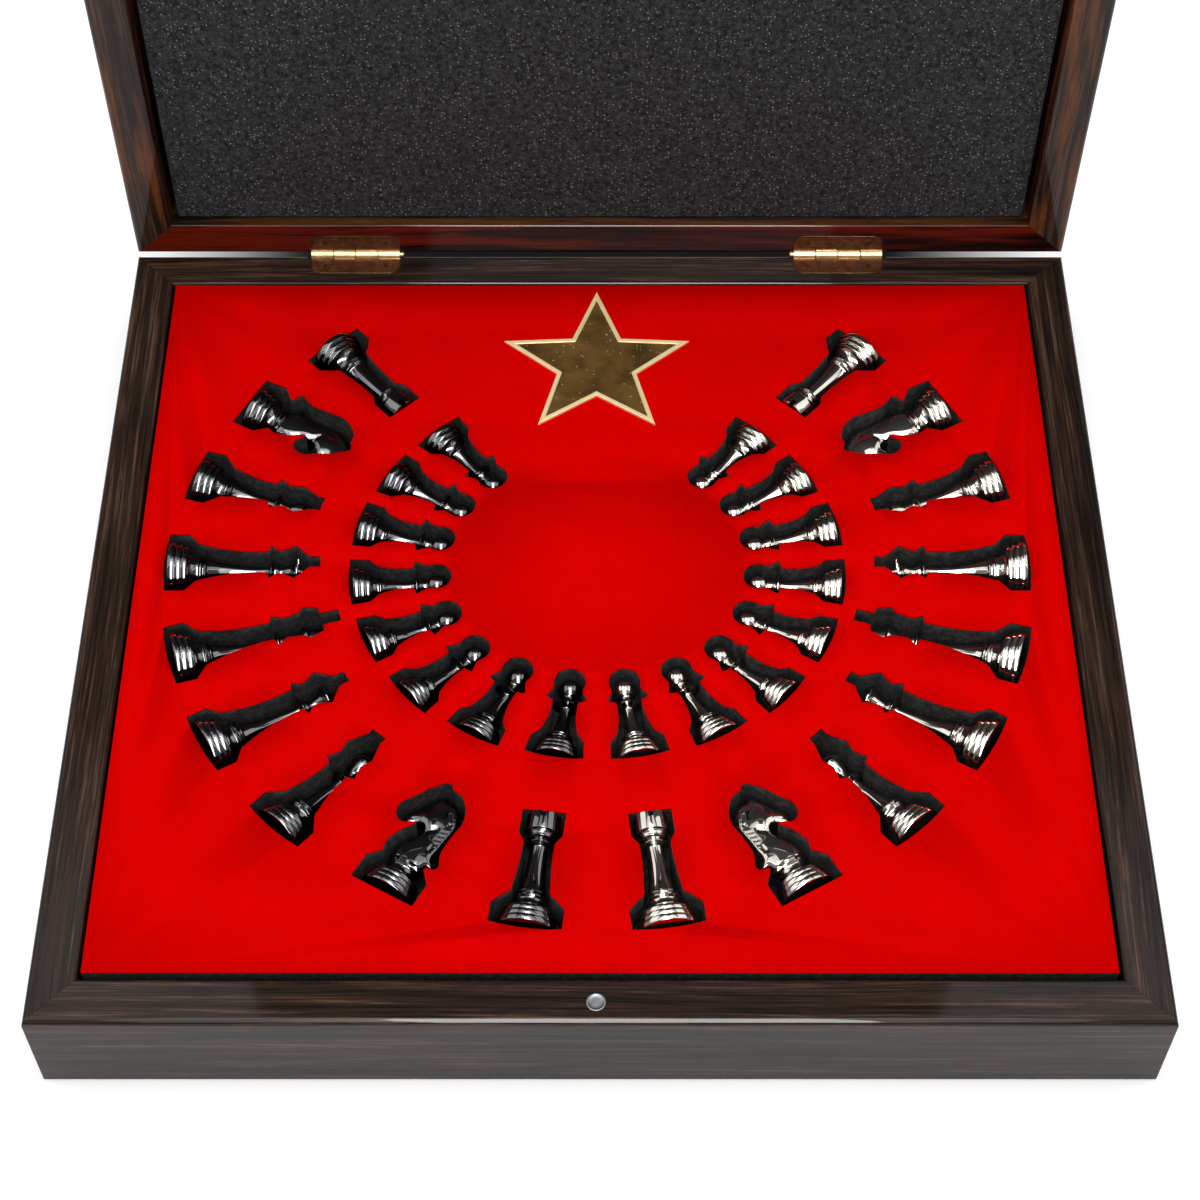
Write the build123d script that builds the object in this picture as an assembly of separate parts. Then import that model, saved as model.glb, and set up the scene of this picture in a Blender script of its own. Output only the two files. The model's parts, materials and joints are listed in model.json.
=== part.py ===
"""Chess set in a lined wooden case, lid open: 34 turned and carved pieces on their sides in a foam tray.

Millimetres. X runs to the right, Y to the back and Z up. The origin is the middle of the base's underside.
"""
import os
from collections import namedtuple
from math import atan2, cos, degrees, hypot, radians, sin, sqrt

from build123d import *

# Case, outside
CASE_WIDTH = 460.0
CASE_DEPTH = 420.0
BASE_HEIGHT = 52.0
LID_HEIGHT = 25.0
RIM_GAP = 0.4            # between the two rims when the lid is shut
LID_OPENING = 90.0       # degrees, as the lid stands in this model

# Rails, mitred at the corners, and the panels that lie flush in their rebates
RAIL_WIDTH = 19.4
RIM_ROUND = 2.6          # outer edge beside the rim
EDGE_EASE = 1.0          # the other long edges
PANEL_THICKNESS = 5.0
PANEL_GRIP = 8.0         # how far the rebate goes into a rail
PANEL_FIT = 0.2

# Tray: plain floor foam, profile foam with the pockets, velvet on top
TRAY_SIDE_GAP = 1.5
TRAY_FRONT_GAP = 3.7
TRAY_BACK_GAP = 0.2
VELVET_THICKNESS = 0.8
VELVET_DROP = 1.0        # velvet below the rim
PIECE_PROUD = 6.0        # from the velvet up to the top of the widest lying foot
PIECE_LIFT = 0.3         # a lying piece above the foam under it
PAWN_BED = 3.0           # foam left under the pawns, in pockets that are that much shallower

# Lid lining
LID_FOAM_GAP = 2.9       # at the sides and the far edge
LID_FOAM_HINGE_GAP = 0.3
LID_FOAM_DROP = 5.3      # below the lid's rim

# Pockets, measured from the piece that lies in them
SIDE_CLEARANCE = 2.4
FOOT_CLEARANCE = 0.8
TIP_CLEARANCE = 0.3
HEAD_CLEARANCE = 1.8     # round a pawn's head
FOOT_LINE_BOW = 1.2      # the pocket's end behind the foot bows out

# The two rings of seats. A seat is the middle of its pocket's foot line, and every piece points at one spot
# on the middle line. The rows give the seat's angle on its ring, taken from the tray's side upward to the
# back, then how its pocket is set off by hand: turned toward the back, moved inward and to the back. The
# last number is how many degrees the piece's head dips.
RING_SIDE_MARGIN = 13.3  # outer ring to the tray's side edge
RING_FRONT_MARGIN = 18.1
RING_MIDDLE = 14.0       # the outer ring's middle, behind the case's
RING_INSET_X = 83.3      # inner ring inside the outer one
RING_INSET_Y = 77.8
INNER_RING_MIDDLE = 19.2
AIM_Y = 18.2
RING_SHIFT = -1.2        # both rings, like the hinges, sit a little left of the middle
OUTER_SEATS = {
    "rook_rear": (48.7, -1.8, 1.1, 0.4, -3.0),
    "knight_rear": (33.8, 2.3, -1.3, -0.7, 4.0),
    "bishop_rear": (18.1, -0.6, -0.2, -0.2, 4.0),
    "queen_rear": (1.9, 1.0, 1.0, -0.5, 2.0),
    "king": (-14.4, 2.1, 1.5, -0.1, 6.0),
    "queen_front": (-30.0, 0.9, 0.0, -0.2, 4.0),
    "bishop_front": (-46.1, 2.5, 0.0, -0.8, 6.0),
    "knight_front": (-63.0, -1.5, 0.8, 0.9, 1.0),
    "rook_front": (-80.9, 1.5, 1.3, 1.2, -3.0),
}
INNER_SEATS = {
    "pawn_1": (48.0, -0.1, 0.3, -0.2, 1.0),
    "pawn_2": (30.2, -0.8, 1.1, -0.3, 1.0),
    "pawn_3": (12.5, -0.3, 1.0, -0.2, 1.0),
    "pawn_4": (-5.6, 0.2, 1.3, -0.3, 1.0),
    "pawn_5": (-24.1, 1.2, 0.5, 0.0, 1.0),
    "pawn_6": (-42.2, 0.8, 0.3, -1.0, 1.0),
    "pawn_7": (-60.7, 1.6, 1.3, -0.1, 1.0),
    "pawn_8": (-79.9, 0.8, 1.1, 1.1, 1.0),
}

# Foot of a piece, upward: rings that step in, a hollow shoulder, then sharp waist rings (radius, height)
RING_HEIGHTS = (2.9, 2.8, 2.6)
RING_STEP = 1.0
SHOULDER_RISE = 4.8
SHOULDER_BOW = -0.9
WAIST_RADIUS = 6.9
WAIST_RINGS = ((7.9, 2.1), (7.5, 2.0))
STEM_FOOT_RADIUS = 6.1

# Piece sizes
ROOK_FOOT, ROOK_STEM, ROOK_NECK = 13.0, 21.4, 3.8
ROOK_TURRET_RADIUS, ROOK_TURRET_HEIGHT = 7.4, 8.0
ROOK_BORE_RADIUS, ROOK_BORE_DEPTH = 4.8, 4.5
ROOK_SLOT_WIDTH, ROOK_SLOT_DEPTH, ROOK_SLOTS = 2.2, 2.8, 3
BISHOP_FOOT, BISHOP_STEM, BISHOP_NECK = 12.5, 19.8, 2.9
BISHOP_HEAD_RADIUS, BISHOP_CUT_WIDTH = 5.2, 1.2
QUEEN_FOOT, QUEEN_STEM, QUEEN_NECK = 13.5, 27.4, 2.8
QUEEN_CROWN_RADIUS, QUEEN_NOTCH_RADIUS, QUEEN_NOTCHES = 6.6, 1.2, 8
KING_FOOT, KING_STEM, KING_NECK = 13.5, 28.0, 2.8
KING_CROWN_RADIUS = 6.4
CROSS_HEIGHT, CROSS_SPAN, CROSS_BAR = 7.6, 5.4, 1.8
PAWN_FOOT, PAWN_STEM, PAWN_NECK = 10.5, 14.3, 2.7
PAWN_RING_HEIGHTS = (2.6, 2.6, 2.4)
PAWN_SHOULDER_RISE = 3.6
PAWN_WAIST = 5.2
PAWN_WAIST_RING = 1.6
PAWN_THROAT = 3.6        # from the collar to the head
PAWN_HEAD_RADIUS = 5.2
COLLAR_RADIUS = 6.2      # the sharp ring at the top of every stem
KNIGHT_FOOT = 12.5
KNIGHT_HEAD_BASE, KNIGHT_HEAD_TOP = 6.3, 3.6     # half thickness at the waist and at the ears
KNIGHT_HEAD_DEPTH = 17.0                         # half depth of the rounding from mane to muzzle

# Star plate on the velvet, behind the pieces
STAR_TIP_RADIUS = 47.0
STAR_WAIST_RADIUS = 20.0
STAR_POINTS = 5
STAR_BACK_MARGIN = 52.4  # from the tray's back edge to the middle of the star
STAR_THICKNESS = 1.4
STAR_RIM_WIDTH = 2.0
STAR_RIM_HEIGHT = 0.5
STAR_BEVEL = 0.3

# Hinges and magnets. They sit a little left of the middle.
FITTING_SHIFT = -1.6
HINGE_SPACING = 239.6
HINGE_WIDTH = 44.0
HINGE_REACH = 12.5       # from the pin's axis to the leaf's free edge
HINGE_OFFSET = 0.2       # pin's axis behind the case's back
LEAF_THICKNESS = 1.2
LEAF_CORNER = 5.0
LEAF_FIT = 0.1
KNUCKLE_RADIUS = 2.8
KNUCKLE_COUNT = 4
KNUCKLE_GAP = 0.3
PIN_RADIUS = 1.3
PIN_FIT = 0.05
PIN_PROUD = 2.0
SCREW_HEAD_RADIUS = 2.5
SCREW_RADIUS = 1.3
SCREW_LENGTH = 9.0
SCREW_INSET = 7.0        # from the leaf's side
SCREW_REACH = 7.5        # from the pin's axis
SCREW_FIT = 0.05
MAGNET_RADIUS = 4.0
MAGNET_THICKNESS = 2.5
MAGNET_DROP = 0.2
MAGNET_FIT = 0.1

# Worked out from the sizes above
AXIS_Y = CASE_DEPTH / 2 + HINGE_OFFSET
AXIS_Z = BASE_HEIGHT + RIM_GAP / 2
TRAY_SIDE = CASE_WIDTH / 2 - RAIL_WIDTH - TRAY_SIDE_GAP
TRAY_FRONT = -CASE_DEPTH / 2 + RAIL_WIDTH + TRAY_FRONT_GAP
TRAY_BACK = CASE_DEPTH / 2 - RAIL_WIDTH - TRAY_BACK_GAP
VELVET_TOP = BASE_HEIGHT - VELVET_DROP
FOAM_TOP = VELVET_TOP - VELVET_THICKNESS
WIDEST_FOOT = max(ROOK_FOOT, BISHOP_FOOT, QUEEN_FOOT, KING_FOOT, KNIGHT_FOOT, PAWN_FOOT)
POCKET_FLOOR = VELVET_TOP + PIECE_PROUD - 2 * WIDEST_FOOT - PIECE_LIFT

Piece = namedtuple("Piece", "solid height foot rest pocket")
Seat = namedtuple("Seat", "name kind x y heading dip side")


def stretch(start, end):
    """Line to a point, or an arc if its third value bows the stretch out to the right of the way there."""
    bow = end[2] if len(end) > 2 else 0.0
    return SagittaArc(start[:2], end[:2], -bow) if bow else Line(start[:2], end[:2])


def outline(points):
    """Closed face through points, counterclockwise, so that a bow swells it."""
    return make_face([stretch(start, end) for start, end in zip(points[-1:] + points[:-1], points)])


def block(x, y, z):
    """Box from three (low, high) pairs."""
    size = [high - low for low, high in (x, y, z)]
    centre = [(high + low) / 2 for low, high in (x, y, z)]
    return Pos(*centre) * Box(*size)


# Case


def rail_section(height):
    """Section of a rail: x inward from the outer face, y from the panel side to the rim."""
    rim_corner = RIM_ROUND * (1 - sqrt(0.5))
    ease_corner = EDGE_EASE * (1 - sqrt(0.5))
    return outline([
        (EDGE_EASE, 0, ease_corner),
        (RAIL_WIDTH - PANEL_GRIP, 0),
        (RAIL_WIDTH - PANEL_GRIP, PANEL_THICKNESS),
        (RAIL_WIDTH, PANEL_THICKNESS),
        (RAIL_WIDTH, height - EDGE_EASE),
        (RAIL_WIDTH - EDGE_EASE, height, ease_corner),
        (RIM_ROUND, height),
        (0, height - RIM_ROUND, rim_corner),
        (0, EDGE_EASE),
    ])


def rail(length, distance, turn, height):
    """One mitred rail, its outer face at this distance from the middle, turned to its side of the case."""
    bar = extrude(Plane.YZ * rail_section(height), amount=length / 2, both=True)
    mitre = Polygon(
        (-length / 2, 0),
        (length / 2, 0),
        (length / 2 - RAIL_WIDTH, RAIL_WIDTH),
        (-length / 2 + RAIL_WIDTH, RAIL_WIDTH),
        align=None,
    )
    bar &= extrude(mitre, amount=height)
    return Rot(0, 0, turn) * Pos(0, -distance, 0) * bar


def frame(height):
    """Four rails by side, with the panel side at z = 0 and the rim on top."""
    return {
        "front_rail": rail(CASE_WIDTH, CASE_DEPTH / 2, 0, height),
        "right_rail": rail(CASE_DEPTH, CASE_WIDTH / 2, 90, height),
        "back_rail": rail(CASE_WIDTH, CASE_DEPTH / 2, 180, height),
        "left_rail": rail(CASE_DEPTH, CASE_WIDTH / 2, -90, height),
    }


def panel():
    """The board that closes a frame, lying in its rebates."""
    reach = RAIL_WIDTH - PANEL_GRIP + PANEL_FIT
    half_width = CASE_WIDTH / 2 - reach
    half_depth = CASE_DEPTH / 2 - reach
    return block((-half_width, half_width), (-half_depth, half_depth), (0, PANEL_THICKNESS))


def lid_place(part):
    """From the frame's own place, rim upward, to the shut lid, rim down on the base's."""
    return Pos(0, 0, BASE_HEIGHT + RIM_GAP + LID_HEIGHT) * part.mirror(Plane.XY)


def swing_open(part):
    """Turn a part of the shut lid about the pins' axis to where the lid stands."""
    return part.rotate(Axis((0, AXIS_Y, AXIS_Z), (-1, 0, 0)), LID_OPENING)


def lid_foam():
    """Foam pad of the shut lid, glued to its panel."""
    half_width = CASE_WIDTH / 2 - RAIL_WIDTH - LID_FOAM_GAP
    far_edge = -CASE_DEPTH / 2 + RAIL_WIDTH + LID_FOAM_GAP
    hinge_edge = CASE_DEPTH / 2 - RAIL_WIDTH - LID_FOAM_HINGE_GAP
    low = BASE_HEIGHT + RIM_GAP + LID_FOAM_DROP
    high = BASE_HEIGHT + RIM_GAP + LID_HEIGHT - PANEL_THICKNESS
    return block((-half_width, half_width), (far_edge, hinge_edge), (low, high))


# Hinges, screws and magnets, all with the lid shut


def across_rims(part):
    """The same part on the other rim: mirrored in the plane midway between the rims."""
    return part.mirror(Plane.XY.offset(AXIS_Z))


def axis_cylinder(radius, low, high):
    """Cylinder along the pin's axis from x = low to x = high."""
    return Pos((low + high) / 2, AXIS_Y, AXIS_Z) * Rot(0, 90, 0) * Cylinder(radius, high - low)


def leaf_plate(fit):
    """Plate of a base leaf, grown by a fit where it stands for the mortise."""
    half = HINGE_WIDTH / 2 + fit
    front = AXIS_Y - HINGE_REACH - fit
    corner = LEAF_CORNER * (1 - sqrt(0.5))
    shape = outline([
        (-half, front + LEAF_CORNER),
        (-half + LEAF_CORNER, front, corner),
        (half - LEAF_CORNER, front),
        (half, front + LEAF_CORNER, corner),
        (half, AXIS_Y),
        (-half, AXIS_Y),
    ])
    return Pos(0, 0, BASE_HEIGHT) * extrude(shape, amount=-LEAF_THICKNESS)


def screw(fit):
    """Countersunk screw with its head in the plane z = 0, grown by a fit where it stands for its hole."""
    profile = outline([
        (0, -SCREW_LENGTH),
        (SCREW_RADIUS + fit, -SCREW_LENGTH),
        (SCREW_RADIUS + fit, SCREW_RADIUS - SCREW_HEAD_RADIUS),
        (SCREW_HEAD_RADIUS + fit, 0),
        (0, 0),
    ])
    return revolve(Plane.XZ * profile, Axis.Z)


def screw_pair(fit):
    """Both screws of a base leaf."""
    reach = HINGE_WIDTH / 2 - SCREW_INSET
    places = [Pos(x, AXIS_Y - SCREW_REACH, BASE_HEIGHT) for x in (-reach, reach)]
    return [place * screw(fit) for place in places]


def leaf(first_knuckle):
    """Base leaf with every second knuckle, starting at this one."""
    pitch = (HINGE_WIDTH + KNUCKLE_GAP) / KNUCKLE_COUNT
    body = leaf_plate(0)
    for index in range(KNUCKLE_COUNT):
        low = -HINGE_WIDTH / 2 + index * pitch
        high = low + pitch - KNUCKLE_GAP
        if index % 2 == first_knuckle:
            body += axis_cylinder(KNUCKLE_RADIUS, low, high)
        else:
            body -= axis_cylinder(KNUCKLE_RADIUS + KNUCKLE_GAP, low - KNUCKLE_GAP, high + KNUCKLE_GAP)
    body -= axis_cylinder(PIN_RADIUS + PIN_FIT, -HINGE_WIDTH, HINGE_WIDTH)
    for hole in screw_pair(SCREW_FIT):
        body -= hole
    return body


def hinge_pin(side):
    """Pin with one rounded end that stands proud on the side facing the middle of the case."""
    length = HINGE_WIDTH + PIN_PROUD
    shank = Cylinder(PIN_RADIUS, length)
    shank = fillet(shank.edges().sort_by(Axis.Z)[-1], PIN_RADIUS * 0.6)
    return Pos(-side * PIN_PROUD / 2, AXIS_Y, AXIS_Z) * Rot(0, -side * 90, 0) * shank


def hinge_cut():
    """Mortise, knuckle trough and screw holes that a base leaf needs in its rail."""
    cut = leaf_plate(LEAF_FIT)
    half_length = HINGE_WIDTH / 2 + PIN_PROUD + LEAF_FIT
    cut += axis_cylinder(KNUCKLE_RADIUS + KNUCKLE_GAP, -half_length, half_length)
    for hole in screw_pair(SCREW_FIT):
        cut += hole
    return cut


def magnet(fit):
    """Round magnet in the front rail's rim, grown by a fit and up to the rim where it stands for its hole."""
    top = BASE_HEIGHT if fit else BASE_HEIGHT - MAGNET_DROP
    bottom = BASE_HEIGHT - MAGNET_DROP - MAGNET_THICKNESS
    disc = Cylinder(MAGNET_RADIUS + fit, top - bottom, align=(Align.CENTER, Align.CENTER, Align.MIN))
    return Pos(FITTING_SHIFT, -CASE_DEPTH / 2 + RAIL_WIDTH / 2, bottom) * disc


# Turned pieces


class Turning:
    """Profile of a turned piece, cut from the foot upward, with the marks that its pocket follows."""

    def __init__(self, foot):
        self.points = [(0.0, 0.0), (foot, 0.0)]
        self.marks = [(0.0, foot, 0.0)]

    @property
    def radius(self):
        return self.points[-1][0]

    @property
    def height(self):
        return self.points[-1][1]

    def cut(self, radius, rise=0.0, bow=0.0):
        """Go on to this radius over this rise. A bow swells the stretch, and a negative one hollows it."""
        self.points.append((radius, self.height + rise, bow))

    def ring(self, radius, rise, after):
        """Sharp ring: out to a radius and back to the one after it, over this rise."""
        self.cut(radius, rise / 2)
        self.cut(after, rise / 2)

    def ball(self, radius):
        """Ball that grows from the outline's last radius and closes it on the axis."""
        rise = radius + sqrt(radius**2 - self.radius**2)
        half_chord = hypot(self.radius, rise) / 2
        self.cut(0.0, rise, radius - sqrt(radius**2 - half_chord**2))

    def mark(self, spare=0.0, bow=0.0, radius=None):
        """Corner of the pocket beside this height, with spare room, reached by a stretch with this bow."""
        beside = self.radius if radius is None else radius
        self.marks.append((self.height, beside + spare, bow))

    def solid(self):
        points = self.points
        if self.radius > 0:
            points = points + [(0.0, self.height)]
        return revolve(Plane.XZ * outline(points), Axis.Z)

    def pocket(self, tip_height):
        """Outline of the pocket, its foot line on the y axis and its tip toward +x."""
        half = [(height + FOOT_CLEARANCE, radius + SIDE_CLEARANCE, bow) for height, radius, bow in self.marks]
        half[0] = (0.0,) + half[0][1:]
        half.append((tip_height + FOOT_CLEARANCE + TIP_CLEARANCE, half[-1][1], 0.0))
        bows = [0.0] + [bow for _, _, bow in reversed(half[1:])]
        near = [(along, -beside, bow) for along, beside, bow in half]
        far = [(along, beside, bow) for (along, beside, _), bow in zip(reversed(half), bows)]
        near[0] = near[0][:2] + (FOOT_LINE_BOW,)
        return outline(near + far)


def stepped_foot(foot, heights):
    """Rings of these heights, each a step inside the one under it."""
    turning = Turning(foot)
    for height in heights:
        turning.cut(turning.radius, height)
        turning.cut(turning.radius - RING_STEP)
    return turning


def turned_foot(foot):
    """Stepped rings, shoulder and waist rings that every tall piece stands on."""
    turning = stepped_foot(foot, RING_HEIGHTS)
    turning.mark(radius=foot)
    turning.cut(WAIST_RADIUS, SHOULDER_RISE, SHOULDER_BOW)
    turning.mark(1.2)
    for radius, height in WAIST_RINGS:
        turning.ring(radius, height, STEM_FOOT_RADIUS)
    return turning


def finish(turning, foot, solid, height):
    """The piece with the height of the ring that it rests on and its pocket."""
    return Piece(solid, height, foot, RING_HEIGHTS[0], turning.pocket(height))


def rook():
    turning = turned_foot(ROOK_FOOT)
    turning.mark(-0.5, -1.0)
    turning.cut(ROOK_NECK, ROOK_STEM, -0.5)
    turning.mark(0.4, -0.5)
    turning.ring(COLLAR_RADIUS, 2.6, ROOK_NECK + 0.4)
    turning.cut(ROOK_TURRET_RADIUS - 1.2, 1.4)
    turning.mark(radius=ROOK_TURRET_RADIUS, spare=-0.5)
    turning.cut(ROOK_TURRET_RADIUS, 3.0, -0.5)
    turning.cut(ROOK_TURRET_RADIUS, ROOK_TURRET_HEIGHT)
    top = turning.height
    body = turning.solid()
    body -= Pos(0, 0, top) * Cylinder(ROOK_BORE_RADIUS, 2 * ROOK_BORE_DEPTH)
    for index in range(ROOK_SLOTS):
        slot = Box(4 * ROOK_TURRET_RADIUS, ROOK_SLOT_WIDTH, 2 * ROOK_SLOT_DEPTH)
        body -= Pos(0, 0, top) * Rot(0, 0, index * 180 / ROOK_SLOTS) * slot
    return finish(turning, ROOK_FOOT, body, top)


def bishop():
    turning = turned_foot(BISHOP_FOOT)
    turning.mark(0.0, -0.6)
    turning.cut(BISHOP_NECK, BISHOP_STEM, -1.0)
    turning.mark(0.2, -1.0)
    turning.ring(COLLAR_RADIUS, 2.8, BISHOP_NECK + 1.0)
    turning.marks.append((turning.height - 1.4, COLLAR_RADIUS, 0.0))
    turning.cut(BISHOP_NECK, 4.4, -0.5)
    turning.mark(0.7)
    turning.cut(BISHOP_HEAD_RADIUS, 5.6, 0.4)
    turning.mark()
    turning.cut(1.5, 8.4, 1.3)
    turning.mark()
    turning.ball(1.9)
    body = turning.solid()
    cut = Box(2 * BISHOP_HEAD_RADIUS, 4 * BISHOP_HEAD_RADIUS, BISHOP_CUT_WIDTH)
    head_middle = turning.height - 9.5
    body -= Pos(-BISHOP_HEAD_RADIUS, 0, head_middle) * Rot(0, 40, 0) * cut
    return finish(turning, BISHOP_FOOT, body, turning.height)


def queen():
    turning = turned_foot(QUEEN_FOOT)
    turning.mark(0.8)
    turning.cut(QUEEN_NECK, QUEEN_STEM, -1.3)
    turning.mark(0.7, -1.2)
    turning.ring(COLLAR_RADIUS, 2.6, QUEEN_NECK + 1.0)
    turning.marks.append((turning.height - 1.3, COLLAR_RADIUS + 0.7, 0.0))
    turning.cut(QUEEN_NECK, 2.4, 0.3)
    turning.mark(1.2)
    turning.cut(QUEEN_CROWN_RADIUS, 7.4, -1.2)
    turning.mark(0.4, -0.6)
    turning.cut(QUEEN_CROWN_RADIUS, 0.8)
    rim = turning.height
    crown_body = turning.solid()
    for index in range(QUEEN_NOTCHES):
        notch = Pos(QUEEN_CROWN_RADIUS, 0, 0) * Rot(0, 90, 0) * Cylinder(QUEEN_NOTCH_RADIUS, 4.4)
        crown_body -= Pos(0, 0, rim) * Rot(0, 0, index * 360 / QUEEN_NOTCHES) * notch
    cap = Turning(4.2)
    cap.cut(1.2, 7.0, -0.5)
    cap.ball(2.0)
    body = crown_body + Pos(0, 0, rim) * cap.solid()
    turning.marks.append((rim + 6.0, 0.6, 0.0))
    return finish(turning, QUEEN_FOOT, body, rim + cap.height)


def king():
    turning = turned_foot(KING_FOOT)
    turning.mark(0.2, -0.4)
    turning.cut(KING_NECK, KING_STEM, -1.3)
    turning.mark(-0.4, -1.2)
    turning.ring(COLLAR_RADIUS, 2.6, KING_NECK + 1.2)
    turning.marks.append((turning.height - 1.3, COLLAR_RADIUS - 0.4, 0.0))
    turning.cut(KING_NECK, 3.0, 0.4)
    turning.mark(0.2)
    turning.cut(KING_CROWN_RADIUS - 1.0, 7.6, -0.9)
    turning.mark(-1.4)
    turning.ring(KING_CROWN_RADIUS, 2.6, KING_CROWN_RADIUS - 1.4)
    turning.mark(1.2)
    turning.cut(KING_CROWN_RADIUS - 2.2, 6.2)
    turning.mark()
    turning.cut(CROSS_BAR, 0.8)
    turning.marks.append((turning.height, 0.9, 0.0))
    body = turning.solid()
    top = turning.height + CROSS_HEIGHT
    arms = turning.height + CROSS_HEIGHT * 0.55
    half = CROSS_BAR / 2
    body += block((-half, half), (-half, half), (turning.height - half, top))
    body += block((-half, half), (-CROSS_SPAN / 2, CROSS_SPAN / 2), (arms - half, arms + half))
    return finish(turning, KING_FOOT, body, top)


def pawn():
    turning = stepped_foot(PAWN_FOOT, PAWN_RING_HEIGHTS)
    turning.mark(radius=PAWN_FOOT, spare=-1.1)
    turning.cut(PAWN_WAIST, PAWN_SHOULDER_RISE, -0.6)
    turning.mark(0.6)
    turning.ring(PAWN_WAIST + 1.0, PAWN_WAIST_RING, PAWN_WAIST - 0.4)
    turning.cut(PAWN_NECK, PAWN_STEM, -0.8)
    turning.mark(0.5, -0.9)
    turning.ring(COLLAR_RADIUS, 2.4, PAWN_NECK + 0.8)
    turning.marks.append((turning.height - 1.2, COLLAR_RADIUS + 0.7, 0.0))
    turning.cut(PAWN_NECK + 0.3, PAWN_THROAT, -0.3)
    turning.mark(1.1)
    turning.ball(PAWN_HEAD_RADIUS)
    head = turning.height - PAWN_HEAD_RADIUS
    pocket = turning.pocket(head)
    pocket += Pos(head + FOOT_CLEARANCE, 0) * Circle(PAWN_HEAD_RADIUS + HEAD_CLEARANCE)
    return Piece(turning.solid(), turning.height, PAWN_FOOT, PAWN_RING_HEIGHTS[0], pocket)


# Knight


def knight_outline():
    """Side view of the carved head and neck: x toward the muzzle, y up from the foot."""
    return outline([
        (-7.0, 13.4),
        (5.5, 13.4),
        (8.6, 19.4, 0.8),
        (4.4, 28.4, 0.6),
        (2.6, 33.4, -0.5),
        (5.2, 35.6, -0.3),
        (10.6, 32.4),
        (12.9, 34.0, 0.4),
        (12.8, 38.4, 0.5),
        (7.6, 47.0, -0.4),
        (4.6, 50.8),
        (2.2, 53.4),
        (0.4, 51.2),
        (-4.0, 50.8),
        (-10.2, 40.9, 1.2),
        (-9.4, 25.4, -0.3),
        (-12.2, 18.6, -0.4),
        (-8.6, 18.0),
    ])


def knight():
    turning = turned_foot(KNIGHT_FOOT)
    waist = turning.height
    side_view = knight_outline()
    top = side_view.bounding_box().max.Y
    carving = extrude(Plane.XZ * side_view, amount=KNIGHT_HEAD_BASE, both=True)
    lower = Plane.XY.offset(waist - 4) * Ellipse(KNIGHT_HEAD_DEPTH, KNIGHT_HEAD_BASE)
    upper = Plane.XY.offset(top) * Ellipse(KNIGHT_HEAD_DEPTH, KNIGHT_HEAD_TOP)
    carving &= loft([lower.face(), upper.face()])
    body = turning.solid() + carving
    foot_shadow = outline([
        (-KNIGHT_FOOT, 0),
        (KNIGHT_FOOT, 0),
        (KNIGHT_FOOT, turning.marks[1][0]),
        (turning.marks[2][1], turning.marks[2][0]),
        (-turning.marks[2][1], turning.marks[2][0]),
        (-KNIGHT_FOOT, turning.marks[1][0]),
    ])
    shadow = offset(foot_shadow, SIDE_CLEARANCE, kind=Kind.INTERSECTION) + offset(side_view, SIDE_CLEARANCE)
    pocket = Pos(FOOT_CLEARANCE, 0) * Rot(0, 0, -90) * shadow
    return Piece(body, top, KNIGHT_FOOT, RING_HEIGHTS[0], pocket)


# Seats


def seats():
    """Every piece's name, kind, place, heading in the tray, dip and side, left of the middle first."""
    outer_x = TRAY_SIDE - RING_SIDE_MARGIN
    outer_y = RING_MIDDLE - TRAY_FRONT - RING_FRONT_MARGIN
    rings = (
        (OUTER_SEATS, outer_x, outer_y, RING_MIDDLE),
        (INNER_SEATS, outer_x - RING_INSET_X, outer_y - RING_INSET_Y, INNER_RING_MIDDLE),
    )
    found = []
    for side, colour in ((-1, "black"), (1, "silver")):
        for rows, reach_x, reach_y, middle in rings:
            for name, (angle, turn, inward, back, dip) in rows.items():
                x = side * reach_x * cos(radians(angle))
                y = middle + reach_y * sin(radians(angle))
                heading = degrees(atan2(AIM_Y - y, -x)) - side * turn
                kind = name.split("_")[0]
                place = (x - side * inward + RING_SHIFT, y + back)
                found.append(Seat(f"{colour}_{name}", kind, *place, heading, dip, side))
    return found


def bed_height(seat):
    """Height of the foam under a seat's piece."""
    return POCKET_FLOOR + (PAWN_BED if seat.kind == "pawn" else 0.0)


def lay_down(piece, seat):
    """Lay an upright piece on its side in its seat, its weight on its foot's edge or its first ring."""
    face_turn = -90 * seat.side if seat.kind == "knight" else 0
    if seat.name.endswith("knight_rear"):
        face_turn = -face_turn
    dip = radians(seat.dip)
    height = bed_height(seat) + PIECE_LIFT + piece.foot * cos(dip) + max(0.0, piece.rest * sin(dip))
    place = Pos(seat.x, seat.y, height) * Rot(0, 0, seat.heading) * Pos(FOOT_CLEARANCE, 0, 0)
    return place * Rot(0, 90 + seat.dip, 0) * Rot(0, 0, face_turn) * piece.solid


def pocket_place(piece, seat):
    """The piece's pocket outline in its seat."""
    shape = piece.pocket
    turned_face = seat.kind == "knight" and (seat.side > 0) == seat.name.endswith("knight_rear")
    if turned_face:
        shape = shape.mirror(Plane.XZ)
    return Pos(seat.x, seat.y) * Rot(0, 0, seat.heading) * shape


# Tray


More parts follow.
